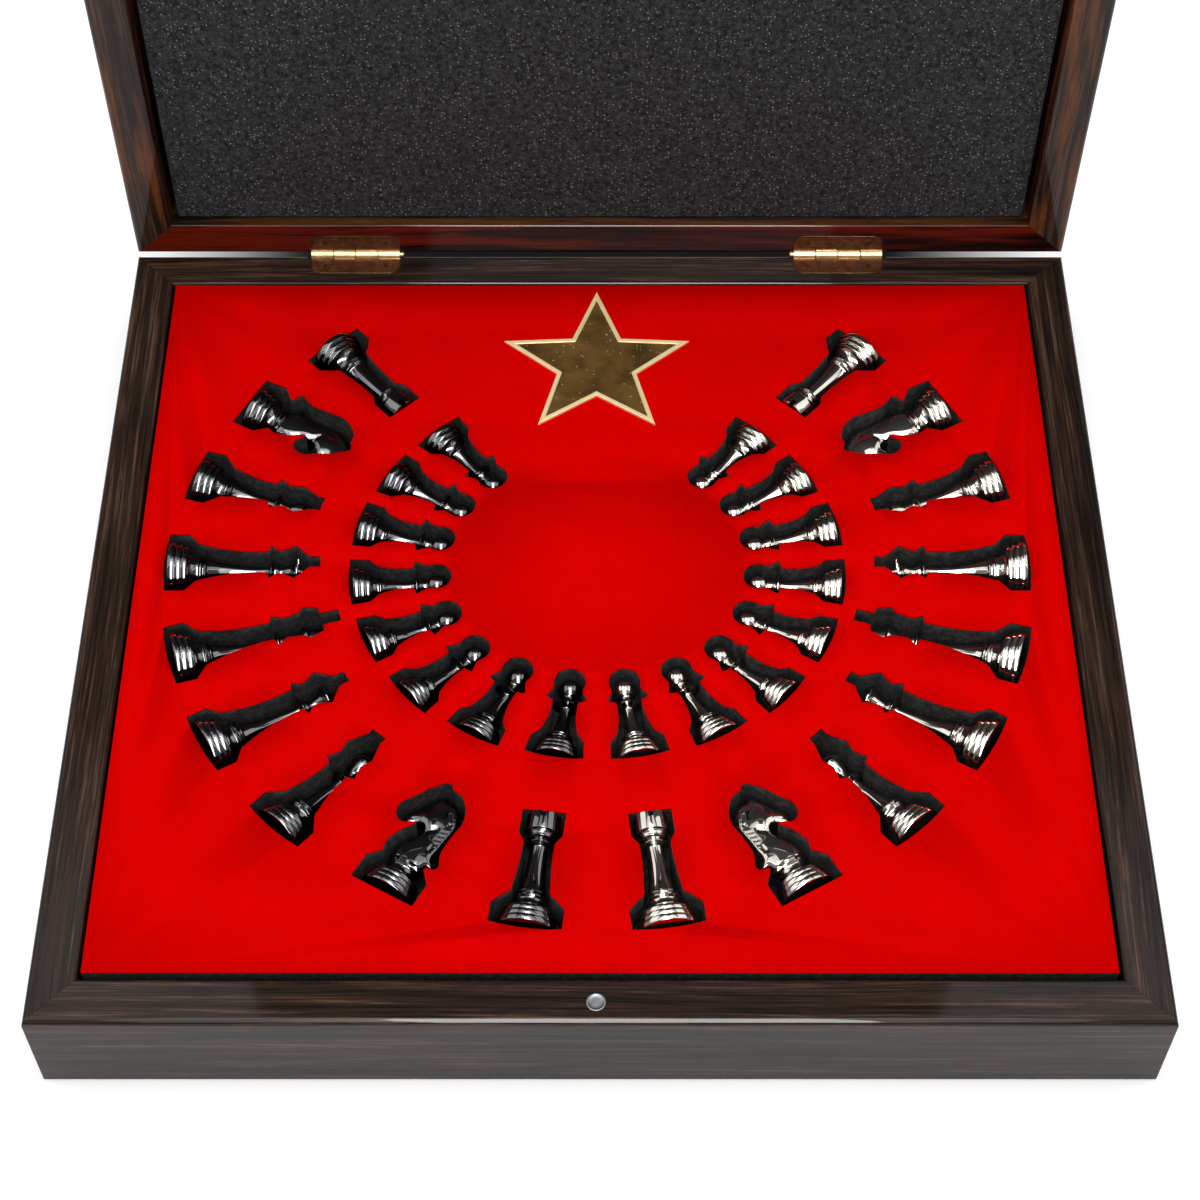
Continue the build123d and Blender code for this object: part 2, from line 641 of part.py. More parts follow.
def tray_layers(deep_pockets, pawn_pockets):
    """Floor foam, the two halves of the profile foam and the velvet, with the pockets cut through."""
    whole = outline([
        (-TRAY_SIDE, TRAY_FRONT),
        (TRAY_SIDE, TRAY_FRONT),
        (TRAY_SIDE, TRAY_BACK),
        (-TRAY_SIDE, TRAY_BACK),
    ])
    bed = whole
    for pocket in deep_pockets:
        bed -= pocket
    cut = bed
    for pocket in pawn_pockets:
        cut -= pocket
    profile = Pos(0, 0, POCKET_FLOOR) * extrude(bed, amount=PAWN_BED)
    profile += Pos(0, 0, POCKET_FLOOR + PAWN_BED) * extrude(cut, amount=FOAM_TOP - POCKET_FLOOR - PAWN_BED)
    return {
        "tray_floor": Pos(0, 0, PANEL_THICKNESS) * extrude(whole, amount=POCKET_FLOOR - PANEL_THICKNESS),
        "tray_foam_left": profile.split(Plane.YZ, keep=Keep.BOTTOM),
        "tray_foam_right": profile.split(Plane.YZ, keep=Keep.TOP),
        "velvet_sheet": Pos(0, 0, FOAM_TOP) * extrude(cut, amount=VELVET_THICKNESS),
    }


def star_plate():
    """Plain five-pointed plate with a raised, bevelled rim."""
    points = []
    for index in range(2 * STAR_POINTS):
        radius = STAR_WAIST_RADIUS if index % 2 else STAR_TIP_RADIUS
        angle = radians(90 + index * 180 / STAR_POINTS)
        points.append((radius * cos(angle), radius * sin(angle)))
    shape = outline(points)
    tip, waist = Vector(*points[0]), Vector(*points[1])
    edge_distance = tip.cross(waist).length / (tip - waist).length
    inner = scale(shape, 1 - STAR_RIM_WIDTH / edge_distance)
    plate = extrude(shape, amount=STAR_THICKNESS)
    plate = chamfer(plate.edges().group_by(Axis.Z)[-1], STAR_BEVEL)
    plate -= Pos(0, 0, STAR_THICKNESS - STAR_RIM_HEIGHT) * extrude(inner, amount=STAR_THICKNESS)
    return Pos(FITTING_SHIFT, TRAY_BACK - STAR_BACK_MARGIN, VELVET_TOP) * plate


# Everything in its place


def build():
    """Every node of the model by name."""
    nodes = {f"base_{name}": part for name, part in frame(BASE_HEIGHT).items()}
    nodes["bottom_panel"] = panel()
    lid = {f"lid_{name}": lid_place(part) for name, part in frame(LID_HEIGHT).items()}
    lid["lid_panel"] = lid_place(panel())
    lid["lid_foam"] = lid_foam()

    kinds = {make.__name__: make() for make in (rook, knight, bishop, queen, king, pawn)}
    deep_pockets, pawn_pockets = [], []
    for seat in seats():
        piece = kinds[seat.kind]
        nodes[seat.name] = lay_down(piece, seat)
        pockets = pawn_pockets if seat.kind == "pawn" else deep_pockets
        pockets.append(pocket_place(piece, seat))
    nodes.update(tray_layers(deep_pockets, pawn_pockets))
    nodes["star_plate"] = star_plate()

    base_screws, lid_screws = [], []
    for side, name in ((-1, "left"), (1, "right")):
        place = Pos(FITTING_SHIFT + side * HINGE_SPACING / 2, 0, 0)
        base_leaf_knuckle = 1 if side < 0 else 0
        nodes[f"{name}_hinge_base_leaf"] = place * leaf(base_leaf_knuckle)
        nodes[f"{name}_hinge_pin"] = place * hinge_pin(side)
        lid[f"{name}_hinge_lid_leaf"] = place * across_rims(leaf(1 - base_leaf_knuckle))
        nodes["base_back_rail"] -= place * hinge_cut()
        lid["lid_back_rail"] -= place * across_rims(hinge_cut())
        base_screws += [place * item for item in screw_pair(0)]
        lid_screws += [place * across_rims(item) for item in screw_pair(0)]
    nodes["base_hinge_screws"] = Compound(base_screws)
    lid["lid_hinge_screws"] = Compound(lid_screws)

    nodes["base_magnet"] = magnet(0)
    nodes["base_front_rail"] -= magnet(MAGNET_FIT)
    lid["lid_magnet"] = across_rims(magnet(0))
    lid["lid_front_rail"] -= across_rims(magnet(MAGNET_FIT))

    for name, part in lid.items():
        nodes[name] = swing_open(part)
    return nodes


os.makedirs("parts", exist_ok=True)
for node_name, node in build().items():
    export_step(node, f"parts/{node_name}.step")
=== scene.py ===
"""Looks of the chess set: wood, foam, velvet, turned and carved pieces and fittings."""

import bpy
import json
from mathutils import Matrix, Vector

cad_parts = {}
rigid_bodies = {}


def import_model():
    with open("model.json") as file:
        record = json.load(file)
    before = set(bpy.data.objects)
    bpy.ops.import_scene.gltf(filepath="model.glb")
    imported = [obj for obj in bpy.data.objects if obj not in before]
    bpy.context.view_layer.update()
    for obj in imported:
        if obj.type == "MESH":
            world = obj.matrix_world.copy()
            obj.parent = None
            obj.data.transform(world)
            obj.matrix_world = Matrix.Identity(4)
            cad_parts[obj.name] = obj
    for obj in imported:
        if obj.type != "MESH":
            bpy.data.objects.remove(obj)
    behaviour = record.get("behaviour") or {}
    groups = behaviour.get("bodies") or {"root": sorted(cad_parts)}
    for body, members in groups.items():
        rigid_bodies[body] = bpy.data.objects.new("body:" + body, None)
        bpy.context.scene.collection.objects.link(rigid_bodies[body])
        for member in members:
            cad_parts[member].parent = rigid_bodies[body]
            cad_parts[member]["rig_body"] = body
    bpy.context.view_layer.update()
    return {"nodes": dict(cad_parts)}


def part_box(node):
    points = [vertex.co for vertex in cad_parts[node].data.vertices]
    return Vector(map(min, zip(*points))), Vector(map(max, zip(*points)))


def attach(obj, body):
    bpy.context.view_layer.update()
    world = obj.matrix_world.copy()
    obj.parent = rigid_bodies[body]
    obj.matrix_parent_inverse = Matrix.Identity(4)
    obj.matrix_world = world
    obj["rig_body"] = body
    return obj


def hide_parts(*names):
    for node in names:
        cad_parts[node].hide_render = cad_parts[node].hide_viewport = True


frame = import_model()

import json
from math import atan2, ceil, cos, hypot, pi, radians, sin, sqrt

import bmesh
import bpy
import numpy as np
from bpy.props import FloatProperty, FloatVectorProperty, IntProperty, PointerProperty
from bpy.types import Operator, Panel, PropertyGroup
from mathutils import Matrix, Vector
from mathutils.noise import noise

bl_info = {
    "name": "Chess set in a wooden case",
    "version": (1, 0, 0),
    "blender": (4, 5, 0),
    "location": "View3D > Sidebar > Chess set",
    "description": "Dresses the packed chess case: wood, foam, velvet, chrome pieces and brass fittings",
    "category": "Object",
}

MM = 0.001
FLAT_ANGLE = 0.4        # degrees between two CAD faces that count as one flat face
MUZZLE_BAND = (30.0, 38.0)      # millimetres above its foot where a knight's muzzle sticks out
SCREW_GAP = 4.0         # millimetres that lie at least between two screw heads
SCREW_HEAD = 2.5        # millimetres from a screw's middle to the edge of its head
SCREW_LENGTH = 9.0      # millimetres from the top of a screw's head to its end
KNUCKLE_REACH = 2.9     # millimetres round a hinge's axis that belong to its knuckles
LID_WARMTH = {"x": 0.35, "z": 0.8}      # share of warm grain in the lid's rails, by the way they run
FLOOR_DROP = 0.0002     # metres from the underside of the case to the floor
LID_GAP_Y = 0.245       # metres from the middle of the case back to the gap between base and lid, where the floor's painted shadow lies
CAMERA_PLACE = (0.0, -0.6428, 0.9336)   # metres, fitted to the corners of the case in the photo
COLOURS = ("black", "silver")
RANKS = ("rook_rear", "knight_rear", "bishop_rear", "queen_rear", "king",
         "queen_front", "bishop_front", "knight_front", "rook_front")
PAWNS = tuple(f"pawn_{number}" for number in range(1, 9))
RAILS = {"front_rail": "x", "back_rail": "x", "left_rail": "y", "right_rail": "y"}


# Settings a user would change


def colour(name, description, default):
    return FloatVectorProperty(name=name, description=description, default=default,
                               subtype="COLOR", size=3, min=0.0, max=1.0)


def length(name, description, default):
    return FloatProperty(name=name, description=description, default=default, unit="LENGTH", min=0.0)


def strength(name, description, default):
    return FloatProperty(name=name, description=description, default=default, min=0.0)


class CaseSettings(PropertyGroup):
    dark: colour("Dark grain", "Colour of the darkest streaks of the wood", (0.0060, 0.0036, 0.0026))
    middle: colour("Middle grain", "Colour of most of the wood", (0.024, 0.0122, 0.0080))
    light: colour("Light grain", "Colour of the palest streaks", (0.088, 0.048, 0.031))
    warm: colour("Warm grain", "Orange-brown patches in the lid's rails", (0.17, 0.055, 0.012))
    # A red tinge, multiplied into the wood of the lid's back rail on the side that closes on the base
    tinge: colour("Red stain", "Tint of the lid's back rail, on the side that closes on the base",
                  (1.0, 0.12, 0.03))
    lacquer: strength("Lacquer", "Weight of the clear lacquer over the wood, up to 1", 0.42)
    rail_edge: length("Rail edge", "Rounding of a rail's sharp edges", 0.00030)


class TraySettings(PropertyGroup):
    velvet: colour("Velvet", "Colour of the velvet", (0.62, 0.0005, 0.0005))
    nap: length("Nap", "Height of the velvet's nap", 0.00012)
    cut_round: length("Cut edge", "Rounding of the velvet's cut edge", 0.00025)
    tray_foam: colour("Tray foam", "Colour of the black profile foam", (0.0085, 0.0085, 0.0085))
    lid_foam: colour("Lid foam", "Colour of the charcoal foam", (0.0106, 0.0143, 0.0148))
    foam_wave: length("Foam waviness", "How far a cut foam wall wanders", 0.00018)


class PieceSettings(PropertyGroup):
    black: colour("Black chrome", "Reflection colour of the black pieces", (0.14, 0.14, 0.145))
    silver: colour("Silver chrome", "Reflection colour of the silver pieces", (0.54, 0.51, 0.46))
    segments: IntProperty(name="Segments", description="Faces round a turned piece",
                          default=80, min=24, max=160)
    edge_round: length("Edge rounding", "Rounding of a turned ring's edge", 0.00032)
    carving_grain: length("Carving fineness", "Size of a face on a knight's carving", 0.00045)


class FittingSettings(PropertyGroup):
    brass: colour("Antique brass", "Darkened brass of leaves and screws", (0.060, 0.026, 0.012))
    # Bright brass: worn brass in the scratches, and a painted highlight on the knuckles and pins
    rubbed: colour("Rubbed brass", "Bright brass of knuckles and pins", (0.66, 0.42, 0.19))
    gold: colour("Gold rim", "Rim of the star", (0.98, 0.76, 0.40))
    bronze: colour("Bronze face", "Face of the star", (0.118, 0.062, 0.016))
    nickel: colour("Nickel", "Plating of the magnets", (0.15, 0.155, 0.16))
    leaf_edge: length("Leaf edge", "Rounding of a leaf's edges", 0.00045)


class StageSettings(PropertyGroup):
    floor: colour("Floor", "Colour of the floor", (0.88, 0.88, 0.88))
    floor_lift: strength("Floor lift", "Glow that whitens the floor in view", 0.30)
    sky: strength("Room light", "Strength of the room round the object", 1.0)
    lamp: strength("Lamps", "Strength of the soft boxes", 1.0)
    pitch: FloatProperty(name="Camera pitch", description="How far the camera looks down",
                         default=radians(54.0), subtype="ANGLE")
    lens: FloatProperty(name="Lens", description="Focal length in millimetres on a 36 mm sensor",
                        default=73.2, min=10.0)


class ChessCaseSettings(PropertyGroup):
    case: PointerProperty(type=CaseSettings)
    tray: PointerProperty(type=TraySettings)
    pieces: PointerProperty(type=PieceSettings)
    fittings: PointerProperty(type=FittingSettings)
    stage: PointerProperty(type=StageSettings)


def settings():
    return bpy.context.scene.chess_case


# Shader and geometry trees


def once(make):
    """The same result for every later call with the same words."""
    made = {}

    def remembered(*words):
        if words not in made:
            made[words] = make(*words)
        return made[words]
    return remembered


def maker(tree):
    """A function that adds a node to the tree, with values or sockets for its inputs."""
    def add(kind, inputs=None, **options):
        node = tree.nodes.new(kind)
        for key, value in options.items():
            setattr(node, key, value)
        for key, value in (inputs or {}).items():
            if isinstance(value, bpy.types.NodeSocket):
                tree.links.new(value, node.inputs[key])
            else:
                node.inputs[key].default_value = value
        return node
    return add


def group_tree(name, inputs, outputs, kind="ShaderNodeTree"):
    """A node group with these sockets by kind, its adder, and its input and output nodes."""
    tree = bpy.data.node_groups.new(name, kind)
    for way, sockets in (("INPUT", inputs), ("OUTPUT", outputs)):
        for label, socket in sockets.items():
            tree.interface.new_socket(label, in_out=way, socket_type=f"NodeSocket{socket}")
    add = maker(tree)
    return tree, add, add("NodeGroupInput"), add("NodeGroupOutput")


def calc(add, operation, first, second=0.5, third=None):
    inputs = {0: first, 1: second}
    if third is not None:
        inputs[2] = third
    return add("ShaderNodeMath", inputs, operation=operation).outputs[0]


def times(add, first, second):
    return calc(add, "MULTIPLY", first, second)


def away_from(add, value, middle):
    """How far a value lies from a middle, to either side."""
    return calc(add, "ABSOLUTE", calc(add, "SUBTRACT", value, middle))


def scaled(add, vector, share):
    return add("ShaderNodeVectorMath", {0: vector, "Scale": share}, operation="SCALE").outputs[0]


def parts_of(add, vector):
    """The vector's parts, as outputs X, Y and Z."""
    return add("ShaderNodeSeparateXYZ", {0: vector}).outputs


def vector_of(add, **parts):
    """A vector of the parts x, y and z that are given."""
    return add("ShaderNodeCombineXYZ", {key.upper(): value for key, value in parts.items()}).outputs[0]


def toned(parts, share):
    """A colour made darker or paler by a share, or sizes put in another unit."""
    return tuple(share * part for part in parts)


def between(add, value, low, high, to_low=0.0, to_high=1.0, smooth=False):
    """The value's place between low and high, as a number from to_low to to_high."""
    node = add("ShaderNodeMapRange", {"Value": value, "From Min": low, "From Max": high,
                                      "To Min": to_low, "To Max": to_high})
    if smooth:
        node.interpolation_type = "SMOOTHSTEP"
    return node.outputs[0]


def mixed(add, share, first, second, blend="MIX"):
    """A mix of two colours."""
    node = add("ShaderNodeMix", data_type="RGBA", blend_type=blend)
    tree = node.id_data
    for index, value in ((0, share), (6, first), (7, second)):
        if isinstance(value, bpy.types.NodeSocket):
            tree.links.new(value, node.inputs[index])
        elif index == 0:
            node.inputs[0].default_value = value
        else:
            node.inputs[index].default_value = (*value, 1.0)
    return node.outputs[2]


def stretched(add, vector, scale, turn=(0.0, 0.0, 0.0), shift=(0.0, 0.0, 0.0)):
    return add("ShaderNodeMapping", {"Vector": vector, "Scale": scale, "Rotation": turn,
                                     "Location": shift}).outputs[0]


def noisy(add, vector, scale=1.0, detail=2.0, rough=0.5, warp=0.0):
    return add("ShaderNodeTexNoise", {"Vector": vector, "Scale": scale, "Detail": detail,
                                      "Roughness": rough, "Distortion": warp}).outputs[0]


@once
def build_grain():
    """Wood figure along the vector's x: broad streaks, fine fibres and pores."""
    tree, add, start, end = group_tree(
        "Wood grain", {"Vector": "Vector"},
        {"Figure": "Float", "Fibre": "Float", "Pore": "Float", "Patch": "Float"})
    place = start.outputs["Vector"]
    drift = noisy(add, stretched(add, place, (3, 12, 12)), detail=2)
    bend = vector_of(add, y=times(add, drift, 0.011), z=times(add, drift, 0.009))
    bent = add("ShaderNodeVectorMath", {0: place, 1: bend}, operation="ADD").outputs[0]
    broad = noisy(add, stretched(add, bent, (7, 210, 210)), detail=4, rough=0.6)
    lines = noisy(add, stretched(add, bent, (16, 900, 900)), detail=3, rough=0.65)
    figure = calc(add, "ADD", times(add, broad, 0.48), times(add, lines, 0.52))
    fibre = noisy(add, stretched(add, bent, (60, 2300, 2300)), detail=2)
    pore = noisy(add, stretched(add, bent, (85, 1500, 1500), shift=(3, 7, 1)), detail=1)
    patch = noisy(add, stretched(add, bent, (9, 130, 130), shift=(1.7, 0.3, 4.1)), detail=3)
    tree.links.new(figure, end.inputs["Figure"])
    tree.links.new(fibre, end.inputs["Fibre"])
    tree.links.new(between(add, pore, 0.60, 0.70), end.inputs["Pore"])
    tree.links.new(patch, end.inputs["Patch"])
    return tree


@once
def build_specks():
    """Small bright specks of uneven strength, scattered through foam, dust or metal."""
    tree, add, start, end = group_tree(
        "Specks", {"Vector": "Vector", "Scale": "Float", "Size": "Float", "Share": "Float"},
        {"Specks": "Float"})
    cell = add("ShaderNodeTexVoronoi", {"Vector": start.outputs["Vector"], "Scale": start.outputs["Scale"],
                                        "Randomness": 1.0})
    chance = add("ShaderNodeSeparateColor", {"Color": cell.outputs["Color"]})
    core = times(add, start.outputs["Size"], 0.35)
    near = between(add, cell.outputs["Distance"], start.outputs["Size"], core)
    lit = calc(add, "LESS_THAN", chance.outputs[0], start.outputs["Share"])
    strength = between(add, chance.outputs[1], 0.0, 1.0, 0.25, 1.0)
    tree.links.new(times(add, times(add, near, lit), strength), end.inputs["Specks"])
    return tree


@once
def build_scratches():
    """Fine hairline scratches in two directions, with smudges between them."""
    tree, add, start, end = group_tree(
        "Scratches", {"Vector": "Vector", "Scale": "Float"}, {"Scratches": "Float", "Smudges": "Float"})
    place = scaled(add, start.outputs["Vector"], start.outputs["Scale"])
    total = None
    for turn in (0.5, 2.3):
        line = noisy(add, stretched(add, place, (0.35, 9.0, 3.0), turn=(0, 0, turn)), detail=2, warp=0.3)
        thin = between(add, away_from(add, line, 0.5), 0.012, 0.0)
        total = thin if total is None else calc(add, "MAXIMUM", total, thin)
    patchy = between(add, noisy(add, place, 1.4, 3), 0.45, 0.65)
    tree.links.new(times(add, total, patchy), end.inputs["Scratches"])
    tree.links.new(noisy(add, place, 0.6, 4), end.inputs["Smudges"])
    return tree


def grouped(add, build, **inputs):
    """The outputs of a placed node group, which is built on its first use."""
    return add("ShaderNodeGroup", {key.capitalize(): value for key, value in inputs.items()},
               node_tree=build()).outputs


class Finish:
    """A material under way: its adder, its object coordinates and its Principled shader."""

    def __init__(self, name, **constants):
        self.material = bpy.data.materials.new(name)
        self.material.use_nodes = True
        tree = self.material.node_tree
        tree.nodes.clear()
        self.add = maker(tree)
        self.place = self.add("ShaderNodeTexCoord").outputs["Object"]
        self.shader = self.add("ShaderNodeBsdfPrincipled", {
            key.replace("_", " ").title().replace("Ior", "IOR"): value for key, value in constants.items()})
        self.add("ShaderNodeOutputMaterial", {"Surface": self.shader.outputs[0]})

    def feed(self, label, value):
        self.material.node_tree.links.new(value, self.shader.inputs[label])

    def bump(self, height, depth, strength=0.5):
        """Bump of this real depth from a height of 0 to 1."""
        node = self.add("ShaderNodeBump", {"Height": height, "Distance": depth, "Strength": strength})
        self.feed("Normal", node.outputs[0])

    def speckled(self, body, *layers):
        """The colour with layers of specks: scale, size, share, strength and colour of each."""
        for scale, size, share, strength, tone in layers:
            specks = grouped(self.add, build_specks, vector=self.place, scale=scale, size=size, share=share)
            body = mixed(self.add, times(self.add, specks[0], strength), body, tone)
        return body

    def worn(self, scale, smooth, rough):
        """Smudges between two roughnesses, and the scratches for the colour."""
        marks = grouped(self.add, build_scratches, vector=self.place, scale=scale)
        self.feed("Roughness", between(self.add, marks["Smudges"], 0.3, 0.7, smooth, rough))
        return marks


@once
def wood(axis, warmth=0.0, tinge=0.0):
    """Dark lacquered wood with its grain along an axis."""
    look = settings().case
    finish = Finish(f"dark_wood_{axis}_{round(warmth * 10)}_{round(tinge * 10)}",
                    coat_weight=look.lacquer, coat_roughness=0.035, coat_ior=1.5, specular_ior_level=0.03)
    add = finish.add
    split = parts_of(add, finish.place)
    along, across, third = {"x": "XYZ", "y": "YXZ", "z": "ZXY"}[axis]
    vector = vector_of(add, x=split[along], y=split[across], z=split[third])
    grain = grouped(add, build_grain, vector=vector)
    body = mixed(add, between(add, grain["Figure"], 0.40, 0.50, smooth=True), look.dark, look.middle)
    body = mixed(add, between(add, grain["Figure"], 0.51, 0.63, smooth=True), body, look.light)
    if warmth > 0:
        patch = times(add, between(add, grain["Patch"], 0.45, 0.60, smooth=True), warmth)
        body = mixed(add, patch, body, look.warm)
    if tinge > 0:
        body = mixed(add, tinge, body, look.tinge, "MULTIPLY")
    shade = between(add, grain["Fibre"], 0.3, 0.7, 0.72, 1.25)
    body = mixed(add, times(add, grain["Pore"], 0.55), scaled(add, body, shade), look.dark)
    finish.feed("Base Color", body)
    finish.feed("Roughness", between(add, grain["Figure"], 0.35, 0.65, 0.46, 0.34))
    finish.bump(calc(add, "SUBTRACT", grain["Fibre"], grain["Pore"]), 0.00004)
    return finish.material


@once
def velvet_cloth():
    """Short-piled red velvet."""
    look = settings().tray
    finish = Finish("red_velvet", roughness=1.0, specular_ior_level=0.0, sheen_weight=0.06,
                    sheen_roughness=0.5, sheen_tint=(1.0, 0.0, 0.0, 1.0))
    add = finish.add
    mottle = noisy(add, stretched(add, finish.place, (38, 38, 38)), detail=4, rough=0.62)
    pile = noisy(add, finish.place, 2600, 2)
    shade = times(add, between(add, mottle, 0.3, 0.7, 0.95, 1.05), between(add, pile, 0.3, 0.7, 0.93, 1.05))
    finish.feed("Base Color", scaled(add, tuple(look.velvet), shade))
    finish.bump(pile, look.nap)
    return finish.material


@once
def cut_velvet():
    """The paler fuzz on the velvet's cut edge."""
    finish = Finish("velvet_fuzz", roughness=1.0, sheen_weight=0.3)
    add = finish.add
    fuzz = noisy(add, finish.place, 1500, 2)
    finish.feed("Base Color", mixed(add, between(add, fuzz, 0.48, 0.62), (0.30, 0.01, 0.008),
                                    (0.85, 0.36, 0.30)))
    return finish.material


@once
def tray_foam():
    """Black closed-cell foam."""
    look = settings().tray
    finish = Finish("black_foam", roughness=0.85, specular_ior_level=0.25)
    add = finish.add
    mottle = noisy(add, finish.place, 330, 4, 0.62)
    cells = add("ShaderNodeTexVoronoi", {"Vector": finish.place, "Scale": 1100.0})
    body = mixed(add, between(add, mottle, 0.40, 0.66, smooth=True), toned(look.tray_foam, 0.4),
                 toned(look.tray_foam, 3.4))
    finish.feed("Base Color", finish.speckled(body, (620.0, 0.33, 0.16, 0.35, (0.09, 0.09, 0.085))))
    finish.bump(cells.outputs["Distance"], 0.0002, 0.6)
    return finish.material


@once
def lid_lining():
    """Charcoal foam full of pale specks and short fibres."""
    look = settings().tray
    finish = Finish("charcoal_foam", roughness=0.9, specular_ior_level=0.2)
    add = finish.add
    mottle = noisy(add, finish.place, 420, 3, 0.6)
    body = mixed(add, between(add, mottle, 0.36, 0.64, smooth=True), toned(look.lid_foam, 0.22),
                 toned(look.lid_foam, 2.1))
    fuzz = noisy(add, finish.place, 640, 2, 0.6, 1.8)
    thread = between(add, away_from(add, fuzz, 0.5), 0.030, 0.0)
    elsewhere = stretched(add, finish.place, (1, 1, 1), shift=(5, 2, 9))
    patchy = between(add, noisy(add, elsewhere, 380, 1), 0.46, 0.60)
    body = mixed(add, times(add, times(add, thread, patchy), 0.75), body, (0.19, 0.20, 0.21))
    finish.feed("Base Color", finish.speckled(body, (560.0, 0.26, 0.55, 0.95, (0.42, 0.42, 0.4368)),
                                              (900.0, 0.36, 0.60, 0.80, (0.20, 0.20, 0.208))))
    finish.bump(fuzz, 0.0003)
    return finish.material


@once
def chrome(shade):
    """Polished black or silver chrome with faint polishing haze."""
    look = settings().pieces
    tone = getattr(look, shade)
    finish = Finish(f"{shade}_chrome", metallic=1.0)
    add = finish.add
    haze = noisy(add, finish.place, 90, 3)
    finish.feed("Base Color", mixed(add, between(add, haze, 0.35, 0.65), toned(tone, 0.90), tone))
    finish.feed("Roughness", between(add, haze, 0.3, 0.7, 0.025, 0.05))
    return finish.material


@once
def star_rim():
    """Pale polished gold."""
    finish = Finish("star_gold", metallic=0.3, specular_ior_level=0.4)
    add = finish.add
    scratches = finish.worn(140.0, 0.30, 0.42)["Scratches"]
    gold = settings().fittings.gold
    finish.feed("Base Color", mixed(add, times(add, scratches, 0.3), gold, (0.5, 0.3, 0.1)))
    return finish.material


@once
def star_face():
    """Darkened bronze with pale specks and hairline scratches."""
    look = settings().fittings
    finish = Finish("star_bronze", metallic=0.2, specular_ior_level=0.1)
    add = finish.add
    marks = finish.worn(120.0, 0.34, 0.50)
    body = mixed(add, between(add, marks["Smudges"], 0.35, 0.65), toned(look.bronze, 0.6),
                 toned(look.bronze, 1.3))
    body = mixed(add, times(add, marks["Scratches"], 0.35), body, (0.32, 0.22, 0.09))
    pale = (0.72, 0.56, 0.30)
    finish.feed("Base Color", finish.speckled(body, (330.0, 0.20, 0.16, 0.9, pale),
                                              (620.0, 0.30, 0.16, 0.9, pale)))
    return finish.material


@once
def brass(kind):
    """Antique brass: dark on leaves and screws, bright on knuckles and pins, where the bright brass is worn
    brass with a painted highlight.
    """
    look = settings().fittings
    finish = Finish(f"antique_brass_{kind}", metallic=0.8 if kind == "dark" else 0.45)
    add = finish.add
    tarnish = between(add, noisy(add, finish.place, 260, 4, 0.6), 0.38, 0.66)
    if kind == "dark":
        scratches = finish.worn(230.0, 0.24, 0.40)["Scratches"]
        body = mixed(add, tarnish, look.brass, toned(look.brass, 2.0))
        body = mixed(add, times(add, scratches, 0.4), body, look.rubbed)
    else:
        finish.worn(230.0, 0.18, 0.34)
        body = mixed(add, times(add, tarnish, 0.35), look.rubbed, toned(look.brass, 4.0))
    finish.feed("Base Color", body)
    return finish.material


@once
def nickel():
    """Plated magnet."""
    finish = Finish("magnet_nickel", metallic=1.0)
    add = finish.add
    scratches = finish.worn(300.0, 0.25, 0.40)["Scratches"]
    tone = settings().fittings.nickel
    finish.feed("Base Color", mixed(add, times(add, scratches, 0.5), tone, toned(tone, 0.5)))
    return finish.material


# Meshes


def linked(name, mesh):
    item = bpy.data.objects.new(name, mesh)
    bpy.context.scene.collection.objects.link(item)
    return item


def plain_mesh(item):
    """The object's evaluated mesh, and the object taken away."""
    graph = bpy.context.evaluated_depsgraph_get()
    mesh = bpy.data.meshes.new_from_object(item.evaluated_get(graph), preserve_all_data_layers=True,
                                           depsgraph=graph)
    bpy.data.objects.remove(item)
    return mesh


def made_mesh(name, shape):
    """A mesh of the edited shape, which is let go."""
    mesh = bpy.data.meshes.new(name)
    shape.to_mesh(mesh)
    shape.free()
    return mesh


def values_of(items, name, width=1):
    """One number, or a row of them, for each of a mesh's vertices or faces."""
    found = np.empty(len(items) * width)
    items.foreach_get(name, found)
    return found.reshape(-1, width) if width > 1 else found


def node_shape(node):
    """An editable copy of a CAD node, with its doubles merged."""
    shape = bmesh.new()
    shape.from_mesh(frame["nodes"][node].data)
    bmesh.ops.remove_doubles(shape, verts=shape.verts, dist=1e-6)
    return shape


def smooth(mesh, angle=32.0):
    """Smooth shading with sharp edges past an angle in degrees."""
    mesh.shade_smooth()
    mesh.set_sharp_from_angle(angle=radians(angle))
    return mesh


def finished(name, mesh, node, slot, *materials):
    """A piece in place of a CAD node, on its body, with its materials; its slot is not used."""
    item = linked(name, mesh)
    mesh.name = name
    mesh.materials.clear()
    for material in materials:
        mesh.materials.append(material)
    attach(item, frame["nodes"][node]["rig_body"])
    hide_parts(node)
    return item


def merged(node):
    """Mesh of a CAD node with its doubles merged and its flat faces made whole."""
    shape = node_shape(node)
    bmesh.ops.dissolve_limit(shape, angle_limit=radians(FLAT_ANGLE), verts=shape.verts, edges=shape.edges)
    return made_mesh(node, shape)


def eased(mesh, width, angle=38.0):
    """The mesh with its sharp edges rounded and its flat faces shaded flat."""
    item = linked("eased", mesh)
    bevel = item.modifiers.new("ease", "BEVEL")
    bevel.width = width
    bevel.segments = 2
    bevel.limit_method = "ANGLE"
    bevel.angle_limit = radians(angle)
    bevel.harden_normals = True
    level = item.modifiers.new("level", "WEIGHTED_NORMAL")
    level.keep_sharp = True
    level.weight = 100
    return plain_mesh(item)


def eased_node(node, width, angle=38.0):
    """Mesh of a CAD node with its sharp edges rounded."""
    return eased(smooth(merged(node)), width, angle)


def carved(mesh, tools, operation="DIFFERENCE"):
    """The mesh with tool meshes cut from it or joined to it."""
    body = linked("body", mesh)
    cutters = []
    for tool in tools:
        cutters.append(linked("tool", tool))
        cut = body.modifiers.new("cut", "BOOLEAN")
        cut.solver = "EXACT"
        cut.operation = operation
        cut.object = cutters[-1]
    result = plain_mesh(body)
    for cutter in cutters:
        bpy.data.objects.remove(cutter)
    return result


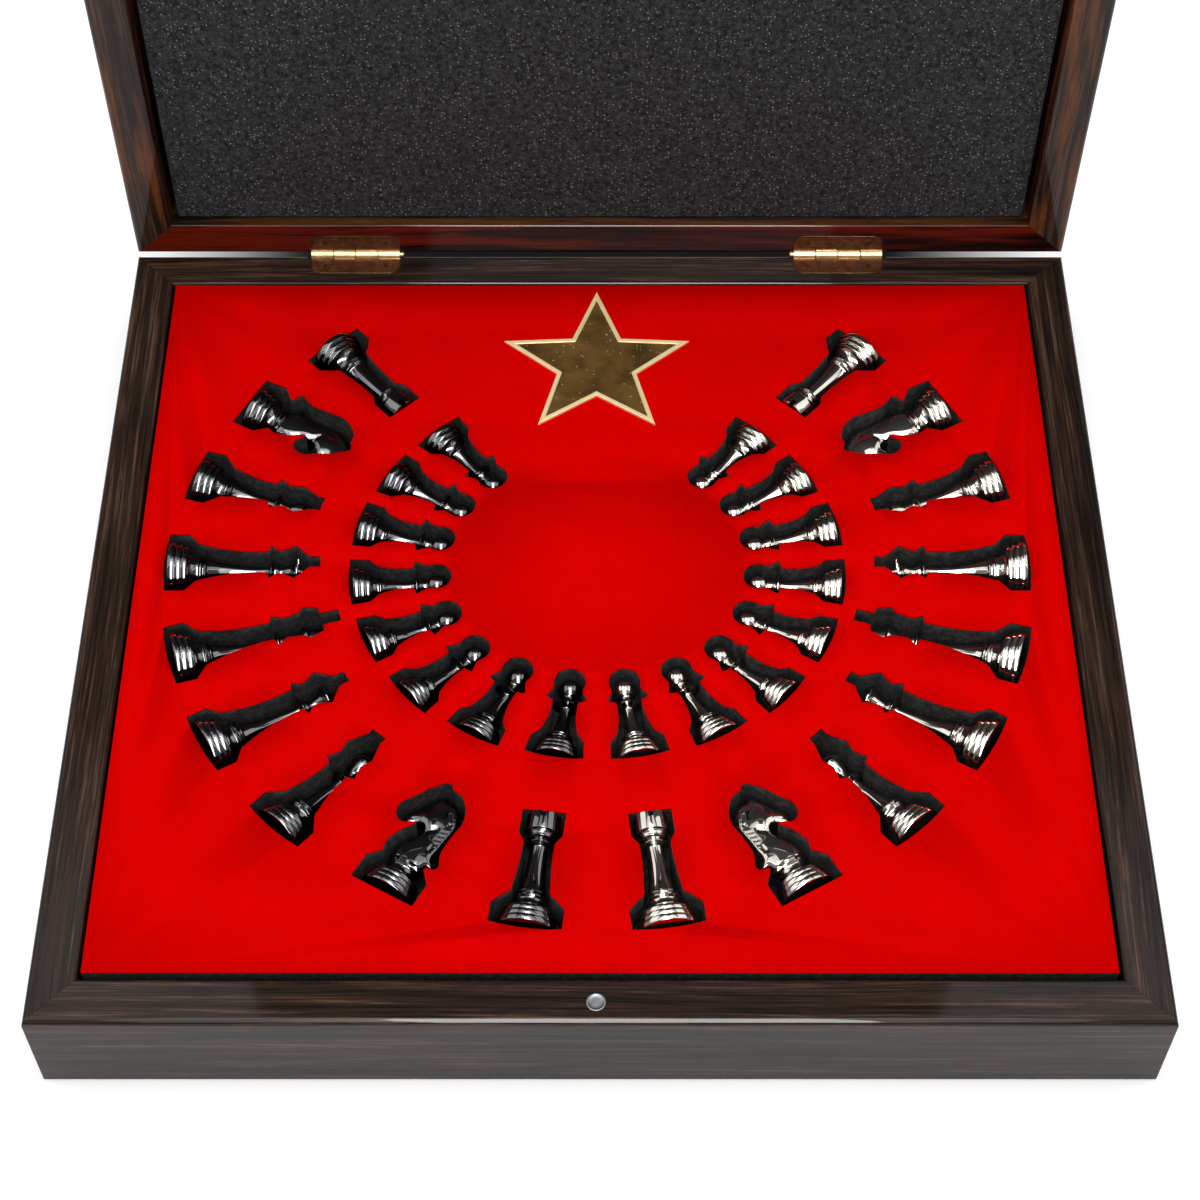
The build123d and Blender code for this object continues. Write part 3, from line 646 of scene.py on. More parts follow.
def box_mesh(size, place):
    """Box of this size in millimetres at a place."""
    shape = bmesh.new()
    bmesh.ops.create_cube(shape, size=1.0, matrix=place @ Matrix.Diagonal((*toned(size, MM), 1.0)))
    return made_mesh("box", shape)


def rod_mesh(radius, size, place):
    """Cylinder of this size in millimetres, along its own z at a place."""
    shape = bmesh.new()
    bmesh.ops.create_cone(shape, cap_ends=True, segments=24, radius1=radius * MM, radius2=radius * MM,
                          depth=size * MM, matrix=place)
    return made_mesh("rod", shape)


def shifted(x, y, z):
    """A place so many millimetres away."""
    return Matrix.Translation((x * MM, y * MM, z * MM))


def painted_end(tree, add, shape, start, end):
    """Make the shape real, give it the group's material and send it out."""
    solid = add("GeometryNodeRealizeInstances", {0: shape}).outputs[0]
    painted = add("GeometryNodeSetMaterial", {"Geometry": solid, "Material": start.outputs["Material"]})
    tree.links.new(painted.outputs[0], end.inputs["Geometry"])
    return tree


@once
def build_turning_tree():
    """Geometry Nodes that turn a profile of vertices (radius, 0, height) round the z axis."""
    tree, add, start, end = group_tree(
        "Turned shape", {"Profile": "Geometry", "Segments": "Int", "Material": "Material"},
        {"Geometry": "Geometry"}, "GeometryNodeTree")
    profile = start.outputs["Profile"]
    count = add("GeometryNodeAttributeDomainSize", {0: profile}).outputs["Point Count"]
    columns = calc(add, "ADD", start.outputs["Segments"], 1.0)
    grid = add("GeometryNodeMeshGrid", {"Size X": 1.0, "Size Y": 1.0, "Vertices X": columns,
                                        "Vertices Y": count})
    here = parts_of(add, add("GeometryNodeInputPosition").outputs[0])
    along = times(add, calc(add, "ADD", here["Y"], 0.5), calc(add, "SUBTRACT", count, 1.0))
    sample = add("GeometryNodeSampleIndex", {"Geometry": profile, "Index": calc(add, "ROUND", along),
                                             "Value": add("GeometryNodeInputPosition").outputs[0]},
                 data_type="FLOAT_VECTOR")
    point = parts_of(add, sample.outputs[0])
    angle = times(add, calc(add, "ADD", here["X"], 0.5), 2 * pi)
    spot = vector_of(add, x=times(add, point["X"], calc(add, "COSINE", angle)),
                     y=times(add, point["X"], calc(add, "SINE", angle)), z=point["Z"])
    turned = add("GeometryNodeSetPosition", {"Geometry": grid.outputs["Mesh"], "Position": spot}).outputs[0]
    closed = add("GeometryNodeMergeByDistance", {"Geometry": turned, "Distance": 1e-6}).outputs[0]
    return painted_end(tree, add, closed, start, end)


def with_tree(name, mesh, tree, **inputs):
    """The plain mesh that a Geometry Nodes tree makes of a mesh, with its named inputs set."""
    item = linked(name, mesh)
    modifier = item.modifiers.new(name, "NODES")
    modifier.node_group = tree
    for socket in tree.interface.items_tree:
        key = socket.name.lower().replace(" ", "_")
        if socket.in_out == "INPUT" and key in inputs:
            modifier[socket.identifier] = inputs[key]
    return plain_mesh(item)


def turned(name, points, material):
    """Mesh turned from a profile in metres."""
    mesh = bpy.data.meshes.new(name)
    mesh.from_pydata([(radius, 0.0, height) for radius, height in points], [], [])
    made = with_tree(name, mesh, build_turning_tree(), segments=settings().pieces.segments,
                     material=material)
    return smooth(made)


# Turned pieces


class Profile:
    """Outline of a turned piece in millimetres, cut from the foot upward."""

    def __init__(self, foot):
        self.stretches = [((0.0, 0.0), (foot, 0.0), 0.0)]

    @property
    def radius(self):
        return self.stretches[-1][1][0]

    @property
    def height(self):
        return self.stretches[-1][1][1]

    def cut(self, radius, rise=0.0, bow=0.0):
        """Go on to this radius over this rise, swelling by the bow or hollowing if it is negative."""
        self.stretches.append(((self.radius, self.height), (radius, self.height + rise), bow))

    def ring(self, radius, rise, after):
        """Sharp ring out to a radius and back to the one after it."""
        self.cut(radius, rise / 2)
        self.cut(after, rise / 2)

    def ball(self, radius):
        """Ball that grows from the last radius and closes on the axis."""
        rise = radius + sqrt(radius**2 - self.radius**2)
        half_chord = hypot(self.radius, rise) / 2
        self.cut(0.0, rise, radius - sqrt(radius**2 - half_chord**2))

    def points(self, edge_round):
        """Fine points along the outline in metres, with every corner rounded."""
        if self.radius > 0:
            self.cut(0.0)
        runs = [arc_points(*stretch) for stretch in self.stretches]
        found = [runs[0][0]]
        for run, after in zip(runs, runs[1:] + [None]):
            inner = run[1:-1]
            found += inner
            if after is None:
                found.append(run[-1])
                continue
            corner, before, beyond = Vector(run[-1]), Vector(run[-2]), Vector(after[1])
            back, on = before - corner, beyond - corner
            if back.angle(on) > radians(165):
                found.append(tuple(corner))
                continue
            reach = min(edge_round, 0.4 * back.length, 0.4 * on.length)
            first, last = corner + back.normalized() * reach, corner + on.normalized() * reach
            for share in (0.0, 0.33, 0.67, 1.0):
                spot = first * (1 - share)**2 + corner * 2 * share * (1 - share) + last * share**2
                found.append(tuple(spot))
        return [(max(radius, 0.0) * MM, height * MM) for radius, height in found]


def arc_points(start, end, bow):
    """Points from start to end on an arc that bows to the right of the way there, in its own units."""
    start, end = Vector(start), Vector(end)
    chord = end - start
    if abs(bow) < 1e-6:
        return [tuple(start), tuple(end)]
    size = chord.length
    radius = (size**2 / 4 + bow**2) / (2 * abs(bow))
    right = Vector((chord.y, -chord.x)).normalized() * (1 if bow > 0 else -1)
    middle = (start + end) / 2 + right * (abs(bow) - radius)
    first = atan2(*(reversed(start - middle)))
    last = atan2(*(reversed(end - middle)))
    sweep = (last - first + pi) % (2 * pi) - pi
    if abs(bow) > size / 2:
        sweep -= 2 * pi * (1 if sweep > 0 else -1)
    steps = max(3, ceil(abs(sweep) / radians(7.0)), ceil(size / 3.0))
    return [(middle.x + radius * cos(first + sweep * step / steps),
             middle.y + radius * sin(first + sweep * step / steps)) for step in range(steps + 1)]


def stepped_foot(foot, heights):
    profile = Profile(foot)
    for height in heights:
        profile.cut(profile.radius, height, 0.22)
        profile.cut(profile.radius - 1.0)
    return profile


def turned_foot(foot):
    """Stepped rings, hollow shoulder and two sharp waist rings."""
    profile = stepped_foot(foot, (2.9, 2.8, 2.6))
    profile.cut(6.9, 4.8, -0.9)
    for radius, height in ((7.9, 2.1), (7.5, 2.0)):
        profile.ring(radius, height, 6.1)
    return profile


def turn_mesh(profile, material):
    return turned("turned", profile.points(settings().pieces.edge_round / MM), material)


def rook(material):
    profile = turned_foot(13.0)
    profile.cut(3.8, 21.4, -0.5)
    profile.ring(6.2, 2.6, 4.2)
    profile.cut(6.2, 1.4)
    profile.cut(7.4, 3.0, -0.5)
    profile.cut(7.4, 8.0)
    profile.cut(4.8)
    profile.cut(4.8, -4.5)
    top = shifted(0, 0, profile.height + 4.5)
    slots = [box_mesh((30, 2.2, 5.6), top @ Matrix.Rotation(index * pi / 3, 4, "Z")) for index in range(3)]
    return carved(turn_mesh(profile, material), slots)


def bishop(material):
    profile = turned_foot(12.5)
    profile.cut(2.9, 19.8, -1.0)
    profile.ring(6.2, 2.8, 3.9)
    profile.cut(2.9, 4.4, -0.5)
    profile.cut(5.2, 5.6, 0.4)
    profile.cut(1.5, 8.4, 1.3)
    profile.ball(1.9)
    place = shifted(-5.2, 0, profile.height - 9.5) @ Matrix.Rotation(radians(40), 4, "Y")
    return carved(turn_mesh(profile, material), [box_mesh((10.4, 20.8, 1.2), place)])


def queen(material):
    profile = turned_foot(13.5)
    profile.cut(2.8, 27.4, -1.3)
    profile.ring(6.2, 2.6, 3.8)
    profile.cut(2.8, 2.4, 0.3)
    profile.cut(6.6, 7.4, -1.2)
    profile.cut(6.6, 0.8)
    rim = profile.height
    notch = shifted(6.6, 0, 0) @ Matrix.Rotation(pi / 2, 4, "Y")
    notches = [rod_mesh(1.2, 4.4, shifted(0, 0, rim) @ Matrix.Rotation(index * pi / 4, 4, "Z") @ notch)
               for index in range(8)]
    crown = carved(turn_mesh(profile, material), notches)
    cap = Profile(4.2)
    cap.cut(1.2, 7.0, -0.5)
    cap.ball(2.0)
    top = turn_mesh(cap, material)
    top.transform(shifted(0, 0, rim - 0.2))
    return carved(crown, [top], "UNION")


def king(material):
    profile = turned_foot(13.5)
    profile.cut(2.8, 28.0, -1.3)
    profile.ring(6.2, 2.6, 4.0)
    profile.cut(2.8, 3.0, 0.4)
    profile.cut(5.4, 7.6, -0.9)
    profile.ring(6.4, 2.6, 5.0)
    profile.cut(4.2, 6.2)
    profile.cut(1.8, 0.8)
    base, bar, tall, span = profile.height, 1.8, 7.6, 5.4
    upright = box_mesh((bar, bar, tall + bar / 2), shifted(0, 0, base + tall / 2 - bar / 4))
    arms = box_mesh((bar, span, bar), shifted(0, 0, base + 0.55 * tall))
    cross = eased(carved(upright, [arms], "UNION"), 0.22 * MM)
    return carved(turn_mesh(profile, material), [cross], "UNION")


def pawn(material):
    profile = stepped_foot(10.5, (2.6, 2.6, 2.4))
    profile.cut(5.2, 3.6, -0.6)
    profile.ring(6.2, 1.6, 4.8)
    profile.cut(2.7, 14.3, -0.8)
    profile.ring(6.2, 2.4, 3.5)
    profile.cut(3.0, 3.6, -0.3)
    profile.ball(5.2)
    return turn_mesh(profile, material)


# Knight

KNIGHT_RISE = 1.4       # how far the carving below stands up from its own numbers
# Side outline of the carving in millimetres: x, height and the bow of the way there
KNIGHT_SIDE = (
    (-7.0, 12.0, 0), (5.5, 12.0, 0), (8.6, 18.0, 0.8), (4.4, 27.0, 0.6), (2.6, 32.0, -0.5),
    (5.2, 34.2, -0.3), (10.6, 31.0, 0), (12.9, 32.6, 0.4), (12.8, 37.0, 0.5), (7.6, 45.6, -0.4),
    (4.6, 49.4, 0), (2.2, 52.0, 0), (0.4, 49.8, 0), (-4.0, 49.4, 0), (-10.2, 39.5, 1.2),
    (-9.4, 24.0, -0.3), (-12.2, 17.2, -0.4), (-8.6, 16.6, 0),
)
# Cheek, eye, chest and nostril: height, place and radius of each swelling
SWELLINGS = ((0.14, 1.5, 38.2, 5.2), (0.10, 7.6, 40.6, 1.6), (0.12, 0.0, 20.0, 9.0),
             (0.10, 10.6, 34.4, 2.6))
# Mouth, nostril, brow, throat and two lines before the mane: depth, ends and width of each groove
GROOVES = ((0.22, (12.9, 33.4), (8.6, 35.0), 0.45), (0.20, (10.9, 36.1), (11.2, 36.5), 0.55),
           (0.16, (6.2, 40.2), (8.6, 41.6), 0.40), (0.14, (4.4, 29.0), (-2.0, 34.0), 0.9),
           (0.08, (-2.0, 46.5), (-6.4, 39.0), 0.9), (0.08, (-6.4, 39.0), (-5.6, 24.0), 0.9))


def side_points():
    """The carving's side outline in millimetres, with its curves stepped finely."""
    found = []
    for before, (x, y, bow) in zip(KNIGHT_SIDE[-1:] + KNIGHT_SIDE[:-1], KNIGHT_SIDE):
        found += arc_points(before[:2], (x, y), bow)[1:]
    return np.array(found)


def line_distance(points, start, end):
    """Distance of every point to the line between two spots."""
    edge = end - start
    share = np.clip(((points - start) @ edge) / (edge @ edge + 1e-12), 0, 1)
    return np.linalg.norm(points - start - share[:, None] * edge, axis=1)


def outline_distance(points, outline):
    """Distance of every point to a closed outline."""
    nearest = np.full(len(points), 1e9)
    for start, end in zip(outline, np.roll(outline, -1, axis=0)):
        nearest = np.minimum(nearest, line_distance(points, start, end))
    return nearest


def dome(points, x, y, radius):
    """A round swelling from 0 to 1 about a spot."""
    away = np.hypot(points[:, 0] - x, points[:, 1] - y) / radius
    return np.clip(1 - away**2, 0, 1)


def groove(points, start, end, width):
    """A line's shading from 0 to 1 between two spots."""
    return np.exp(-(line_distance(points, np.array(start), np.array(end)) / width)**2)


def knight_relief(points, outline):
    """Half thickness of the carving over its side view, in millimetres."""
    x, y = points[:, 0], points[:, 1]
    room = (6.3 - 2.7 * np.clip((y - 13.0) / 39.0, 0, 1)) * np.sqrt(np.clip(1 - (x / 17.0)**2, 0.05, 1))
    inside = outline_distance(points, outline)
    crown = np.sqrt(np.clip(1 - (1 - np.clip(inside / 4.2, 0, 1))**2, 0, 1))
    share = 0.34 + 0.52 * crown
    for height, *swelling in SWELLINGS:
        share += height * dome(points, *swelling)
    for depth, *line in GROOVES:
        share -= depth * groove(points, *line)
    mane = np.clip((-4.2 - x) / 2.0, 0, 1) * np.clip((y - 17.0) / 3.0, 0, 1)
    mane *= np.clip((50.0 - y) / 3.0, 0, 1)
    share += 0.03 * mane * np.sin(2 * pi * (y + 0.55 * x) / 2.3)
    return room * np.clip(share, 0.15, 1.0)


def knight_head():
    """Carved head and neck, upright in metres, with the muzzle toward +x."""
    outline = side_points()
    count = len(outline)
    slab = 6.0          # half the thickness of the block that the relief shrinks
    mesh = bpy.data.meshes.new("knight_head")
    rim = [(x * MM, depth * MM, y * MM) for depth in (-slab, slab) for x, y in outline]
    pairs = [(index, (index + 1) % count) for index in range(count)]
    walls = [(one, other, count + other, count + one) for one, other in pairs]
    mesh.from_pydata(rim, [], [tuple(range(count)), tuple(reversed(range(count, 2 * count)))] + walls)
    item = linked("knight_head", mesh)
    remesh = item.modifiers.new("fine", "REMESH")
    remesh.mode = "VOXEL"
    remesh.voxel_size = settings().pieces.carving_grain
    remesh.use_smooth_shade = True
    mesh = plain_mesh(item)
    spots = values_of(mesh.vertices, "co", 3) / MM
    relief = knight_relief(spots[:, (0, 2)], outline)
    parting = np.clip((spots[:, 2] - 48.6) / 2.0, 0, 1) * np.exp(-(spots[:, 1] / slab / 0.30)**2)
    spots[:, 1] = spots[:, 1] / slab * relief
    spots[:, 2] -= 2.2 * parting
    mesh.vertices.foreach_set("co", (spots * MM).ravel())
    item = linked("knight_head", mesh)
    relax = item.modifiers.new("polish", "SMOOTH")
    relax.factor = 0.6
    relax.iterations = 12
    return plain_mesh(item)


def knight(material):
    """Carved head on a turned foot."""
    foot = turn_mesh(turned_foot(12.5), material)
    head = knight_head()
    head.transform(shifted(0, 0, KNIGHT_RISE))
    return smooth(carved(foot, [head], "UNION"), 40.0)


def lying_place(node):
    """Where an upright piece goes to lie as its CAD node does, and the side that a carving faces."""
    mesh = frame["nodes"][node].data
    normals, centres = values_of(mesh.polygons, "normal", 3), values_of(mesh.polygons, "center", 3)
    areas = values_of(mesh.polygons, "area")
    keys = np.round(np.column_stack([normals * 200, (normals * centres).sum(1) * 20000])).astype(int)
    _, group = np.unique(keys, axis=0, return_inverse=True)
    group = group.ravel()
    foot = group == np.argmax(np.bincount(group, areas))
    axis = -Vector(np.average(normals[foot], axis=0, weights=areas[foot])).normalized()
    origin = Vector(np.average(centres[foot], axis=0, weights=areas[foot]))
    down = Vector((0, 0, -1))
    side_x = (down - axis * down.dot(axis)).normalized()
    side_y = axis.cross(side_x)
    place = Matrix((side_x, side_y, axis)).transposed().to_4x4()
    place.translation = origin
    spots = np.array([place.inverted() @ vertex.co for vertex in mesh.vertices])
    low, high = toned(MUZZLE_BAND, MM)
    band = spots[(spots[:, 2] > low) & (spots[:, 2] < high)]
    return place, (1 if len(band) and band[:, 1].mean() > 0 else -1)


# Tray


def border_edges(shape, level):
    """Edges where a level top face meets the walls."""
    slack = 2e-5
    found = []
    for edge in shape.edges:
        if len(edge.link_faces) != 2:
            continue
        if all(abs(vertex.co.z - level) < slack for vertex in edge.verts):
            up = [face.normal.z > 0.9 for face in edge.link_faces]
            if up[0] != up[1]:
                found.append(edge)
    return found


def velvet_mesh(cut_round):
    """The velvet with its upper cut edges rounded, the fuzz on its second material."""
    shape = node_shape("velvet_sheet")
    shape.normal_update()
    level = max(vertex.co.z for vertex in shape.verts)
    for face in shape.faces:
        face.material_index = 1 if abs(face.normal.z) < 0.5 else 0
    bmesh.ops.bevel(shape, geom=border_edges(shape, level), offset=cut_round, segments=2,
                    affect="EDGES", clamp_overlap=True, material=0)
    front = min(vertex.co.y for vertex in shape.verts)
    for face in shape.faces:
        if face.calc_center_median().y < front + 1.2 * cut_round:
            face.material_index = 1
    return smooth(made_mesh("velvet", shape), 50.0)


def wavy_foam(node, wave, spacing):
    """Foam solid with its long upright edges divided at this spacing in millimetres, and its
    walls wandering a little."""
    shape = node_shape(node)
    bmesh.ops.dissolve_limit(shape, angle_limit=radians(FLAT_ANGLE), verts=shape.verts, edges=shape.edges)
    upright = []
    for edge in shape.edges:
        run = edge.verts[0].co - edge.verts[1].co
        if abs(run.z) > 5 * MM and hypot(run.x, run.y) < 1e-5:
            upright.append(edge)
    low = min(vertex.co.z for vertex in shape.verts)
    high = max(vertex.co.z for vertex in shape.verts)
    cuts = max(1, round((high - low) / (spacing * MM)) - 1)
    bmesh.ops.subdivide_edges(shape, edges=upright, cuts=cuts)
    shape.normal_update()
    for vertex in shape.verts:
        if low + 1e-5 < vertex.co.z < high - 1e-5:
            away = Vector((vertex.normal.x, vertex.normal.y, 0))
            vertex.co -= away * wave * (0.6 + noise(vertex.co * 160))
    bmesh.ops.triangulate(shape, faces=[face for face in shape.faces if len(face.verts) > 4])
    return smooth(made_mesh(node, shape), 40.0)


def foam_slab(node, spacing, dent, edge):
    """Foam slab in its node's box, with soft edges and a faintly uneven skin, in millimetres."""
    spacing, dent, edge = toned((spacing, dent, edge), MM)
    low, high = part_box(node)
    size = high - low
    shape = bmesh.new()
    place = Matrix.Translation((low + high) / 2) @ Matrix.Diagonal((*size, 1.0))
    bmesh.ops.create_cube(shape, size=1.0, matrix=place)
    bmesh.ops.bevel(shape, geom=list(shape.edges), offset=edge, segments=3, affect="EDGES")
    for axis in range(3):
        run = [item for item in shape.edges if item.calc_length() > 4 * spacing
               and abs(item.verts[0].co[axis] - item.verts[1].co[axis]) > 0.8 * item.calc_length()]
        if run:
            cuts = max(1, round(run[0].calc_length() / spacing) - 1)
            bmesh.ops.subdivide_edges(shape, edges=run, cuts=cuts, use_grid_fill=True)
    shape.normal_update()
    for vertex in shape.verts:
        wander = 0.5 + 0.5 * noise(vertex.co * 110) + 0.35 * noise(vertex.co * 330)
        vertex.co -= vertex.normal * dent * max(0.0, wander)
    return smooth(made_mesh(node, shape), 60.0)


def build_screw_tree():
    """Geometry Nodes that put a countersunk cross-head screw on every point."""
    tree, add, start, end = group_tree(
        "Screws", {"Places": "Geometry", "Head Radius": "Float", "Length": "Float", "Turn": "Vector",
                   "Seed": "Int", "Material": "Material"}, {"Geometry": "Geometry"}, "GeometryNodeTree")
    head_radius, reach = start.outputs["Head Radius"], start.outputs["Length"]
    shank_radius = times(add, head_radius, 0.52)
    head_depth = calc(add, "SUBTRACT", head_radius, shank_radius)
    head = add("GeometryNodeMeshCone", {"Vertices": 40, "Side Segments": 1, "Radius Top": head_radius,
                                        "Radius Bottom": shank_radius, "Depth": head_depth}).outputs["Mesh"]
    drop = vector_of(add, z=times(add, head_depth, -1.0))
    head = add("GeometryNodeTransform", {"Geometry": head, "Translation": drop}).outputs[0]
    for wide, narrow in ((1.15, 0.22), (0.22, 1.15)):
        size = vector_of(add, x=times(add, head_radius, wide), y=times(add, head_radius, narrow),
                         z=times(add, head_radius, 0.5))
        bar = add("GeometryNodeMeshCube", {"Size": size}).outputs["Mesh"]
        cut = add("GeometryNodeMeshBoolean", {"Mesh 1": head, "Mesh 2": bar}, operation="DIFFERENCE")
        head = cut.outputs["Mesh"]
    depth = calc(add, "SUBTRACT", reach, head_depth)
    shank = add("GeometryNodeMeshCylinder", {"Vertices": 24, "Radius": shank_radius, "Depth": depth})
    drop = vector_of(add, z=times(add, calc(add, "ADD", reach, head_depth), -0.5))
    shank = add("GeometryNodeTransform", {"Geometry": shank.outputs["Mesh"], "Translation": drop}).outputs[0]
    screw = add("GeometryNodeJoinGeometry")
    for part in (shank, head):
        tree.links.new(part, screw.inputs[0])
    spin = add("FunctionNodeRandomValue", {"Min": 0.0, "Max": pi, "Seed": start.outputs["Seed"]},
               data_type="FLOAT")
    chance = [item for item in spin.outputs if item.enabled][0]
    spots = add("GeometryNodeInstanceOnPoints", {"Points": start.outputs["Places"],
                                                 "Instance": screw.outputs[0],
                                                 "Rotation": start.outputs["Turn"]}).outputs[0]
    spun = add("GeometryNodeRotateInstances", {"Instances": spots, "Rotation": vector_of(add, z=chance),
                                               "Local Space": True}).outputs[0]
    return painted_end(tree, add, spun, start, end)


def screw_centres(node):
    """Middle of every screw head of a node, on its leaf's face."""
    spots = values_of(frame["nodes"][node].data.vertices, "co", 3)
    upright = node.startswith("base")
    axis = 2 if upright else 1
    face = spots[:, axis].max() if upright else spots[:, axis].min()
    level = spots[abs(spots[:, axis] - face) < 2e-5]
    order = level[np.argsort(level[:, 0])]
    groups = np.split(order, np.where(np.diff(order[:, 0]) > SCREW_GAP * MM)[0] + 1)
    return [tuple((group.min(0) + group.max(0)) / 2) for group in groups]


def magnet_mesh(body):
    """Round magnet with a dished face, set in the front rail of the base or the lid."""
    low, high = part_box(f"{body}_magnet")
    middle = (low + high) / 2
    disc = Profile(4.0)
    disc.cut(4.0, 2.5)
    disc.cut(3.3)
    disc.cut(3.1, -0.12)
    disc.cut(1.5, -0.1, -0.05)
    mesh = turned("magnet", disc.points(0.2), nickel())
    if body == "base":
        mesh.transform(Matrix.Translation((middle.x, middle.y, low.z)))
    else:
        mesh.transform(Matrix.Translation((middle.x, high.y, middle.z)) @ Matrix.Rotation(pi / 2, 4, "X"))
    return mesh


# Operators


class CHESS_CASE_OT_wood(Operator):
    """Dress the eight rails and the two panels in dark lacquered wood"""
    bl_idname = "chess_case.wood"
    bl_label = "Wood"

    def execute(self, context):
        look = settings().case
        for body in ("base", "lid"):
            for rail, axis in RAILS.items():
                if body == "lid" and axis == "y":
                    axis = "z"
                node = f"{body}_{rail}"
                warmth = LID_WARMTH[axis] if body == "lid" else 0.0
                item = finished(f"{node}_wood", eased_node(node, look.rail_edge), node, "dark_wood",
                                wood(axis, warmth))
                if node == "lid_back_rail":
                    # The side that closes on the base is tinted red
                    item.data.materials.append(wood(axis, 0.9, 0.9))
                    for face in item.data.polygons:
                        face.material_index = 1 if face.normal.y < -0.7 else 0
        for node in ("bottom_panel", "lid_panel"):
            target = frame["nodes"][node]
            target.data.materials.clear()
            target.data.materials.append(wood("x", 0.0))
        return {"FINISHED"}


class CHESS_CASE_OT_foam(Operator):
    """Make the profile foam with its pockets, the floor foam and the lid's foam pad"""
    bl_idname = "chess_case.foam"
    bl_label = "Foam"

    def execute(self, context):
        wave = settings().tray.foam_wave
        pieces = [finished(f"profile_foam_{side}", wavy_foam(f"tray_foam_{side}", wave, spacing=4.0),
                           f"tray_foam_{side}", "black_foam", tray_foam()) for side in ("left", "right")]
        pieces.append(finished("floor_foam", foam_slab("tray_floor", spacing=5.0, dent=0.15, edge=0.3),
                               "tray_floor", "black_foam", tray_foam()))
        pieces.append(finished("lid_foam_pad", foam_slab("lid_foam", spacing=4.0, dent=0.25, edge=0.9),
                               "lid_foam", "charcoal_foam", lid_lining()))
        return {"FINISHED"}


class CHESS_CASE_OT_velvet(Operator):
    """Lay the red velvet on the foam"""
    bl_idname = "chess_case.velvet"
    bl_label = "Velvet"

    def execute(self, context):
        mesh = velvet_mesh(settings().tray.cut_round)
        item = finished("velvet_cover", mesh, "velvet_sheet", "red_velvet", velvet_cloth(), cut_velvet())
        return {"FINISHED"}


class CHESS_CASE_OT_star(Operator):
    """Make the star plate: polished rim, darkened face"""
    bl_idname = "chess_case.star"
    bl_label = "Star"

    def execute(self, context):
        mesh = eased_node("star_plate", 0.12 * MM)
        top = max(vertex.co.z for vertex in mesh.vertices)
        item = finished("star_badge", mesh, "star_plate", "star_gold", star_rim(), star_face())
        for face in item.data.polygons:
            sunk = face.normal.z > 0.9 and face.center.z < top - 0.3 * MM and face.area > 1e-5
            face.material_index = 1 if sunk else 0
        return {"FINISHED"}


class CHESS_CASE_OT_fittings(Operator):
    """Make the hinges, their screws and the two magnets"""
    bl_idname = "chess_case.fittings"
    bl_label = "Hinges and magnets"

    def execute(self, context):
        leaf_edge = settings().fittings.leaf_edge
        for side in ("left", "right"):
            low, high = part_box(f"{side}_hinge_pin")
            axis_y, axis_z = (low.y + high.y) / 2, (low.z + high.z) / 2
            for leaf in ("base_leaf", "lid_leaf"):
                node = f"{side}_hinge_{leaf}"
                item = finished(f"{node}_brass", eased_node(node, leaf_edge, 50.0), node, "antique_brass",
                                brass("dark"), brass("rubbed"))
                for face in item.data.polygons:
                    # Knuckles take the bright brass: worn brass with a painted highlight
                    away = hypot(face.center.y - axis_y, face.center.z - axis_z)
                    highlit_knuckle = away < KNUCKLE_REACH * MM and abs(face.normal.x) <= 0.3
                    face.material_index = 1 if highlit_knuckle else 0
            node = f"{side}_hinge_pin"
            finished(f"{node}_brass", eased_node(node, 0.1 * MM), node, "antique_brass", brass("rubbed"))
        tree = build_screw_tree()
        for body, turn in (("base", (0.0, 0.0, 0.0)), ("lid", (pi / 2, 0.0, 0.0))):
            node = f"{body}_hinge_screws"
            places = bpy.data.meshes.new("screw_places")
            places.from_pydata(screw_centres(node), [], [])
            mesh = with_tree("screws", places, tree, head_radius=SCREW_HEAD * MM, length=SCREW_LENGTH * MM,
                             turn=turn, seed=4, material=brass("dark"))
            finished(f"{node}_brass", smooth(mesh), node, "antique_brass", brass("dark"))
        for body in ("base", "lid"):
            node = f"{body}_magnet"
            finished(f"{node}_disc", magnet_mesh(body), node, "magnet_nickel", nickel())
        return {"FINISHED"}


class CHESS_CASE_OT_pieces(Operator):
    """Turn and carve the 34 chess pieces and lay them in their pockets"""
    bl_idname = "chess_case.pieces"
    bl_label = "Chess pieces"

    def execute(self, context):
        makers = {make.__name__: make for make in (rook, knight, bishop, queen, king, pawn)}
        shapes = {kind: make(chrome("black")) for kind, make in makers.items()}
        for shade in COLOURS:
            for name in RANKS + PAWNS:
                node = f"{shade}_{name}"
                kind = name.split("_")[0]
                place, facing = lying_place(node)
                if kind == "knight":
                    place @= Matrix.Rotation(facing * pi / 2, 4, "Z")
                mesh = shapes[kind].copy()
                mesh.transform(place)
                finished(f"{node}_chrome", mesh, node, f"{shade}_chrome", chrome(shade))
        return {"FINISHED"}


# Name, elevation and azimuth in degrees, distance, width and height in metres, and brightness
LAMPS = (
    ("soft_box_overhead", 68.0, 0.0, 1.7, 1.05, 2.6, 2.45),
    ("reflection_card", 60.0, 2.0, 1.7, 0.5, 2.2, 18.0),
    ("soft_box_left", 38.0, -108.0, 1.6, 1.0, 0.9, 1.5),
    ("strip_left", 52.0, -76.0, 1.6, 0.14, 1.5, 3.2),
    ("soft_box_right", 38.0, 108.0, 1.6, 1.0, 0.9, 1.5),
    ("strip_right", 52.0, 76.0, 1.6, 0.14, 1.5, 3.2),
)


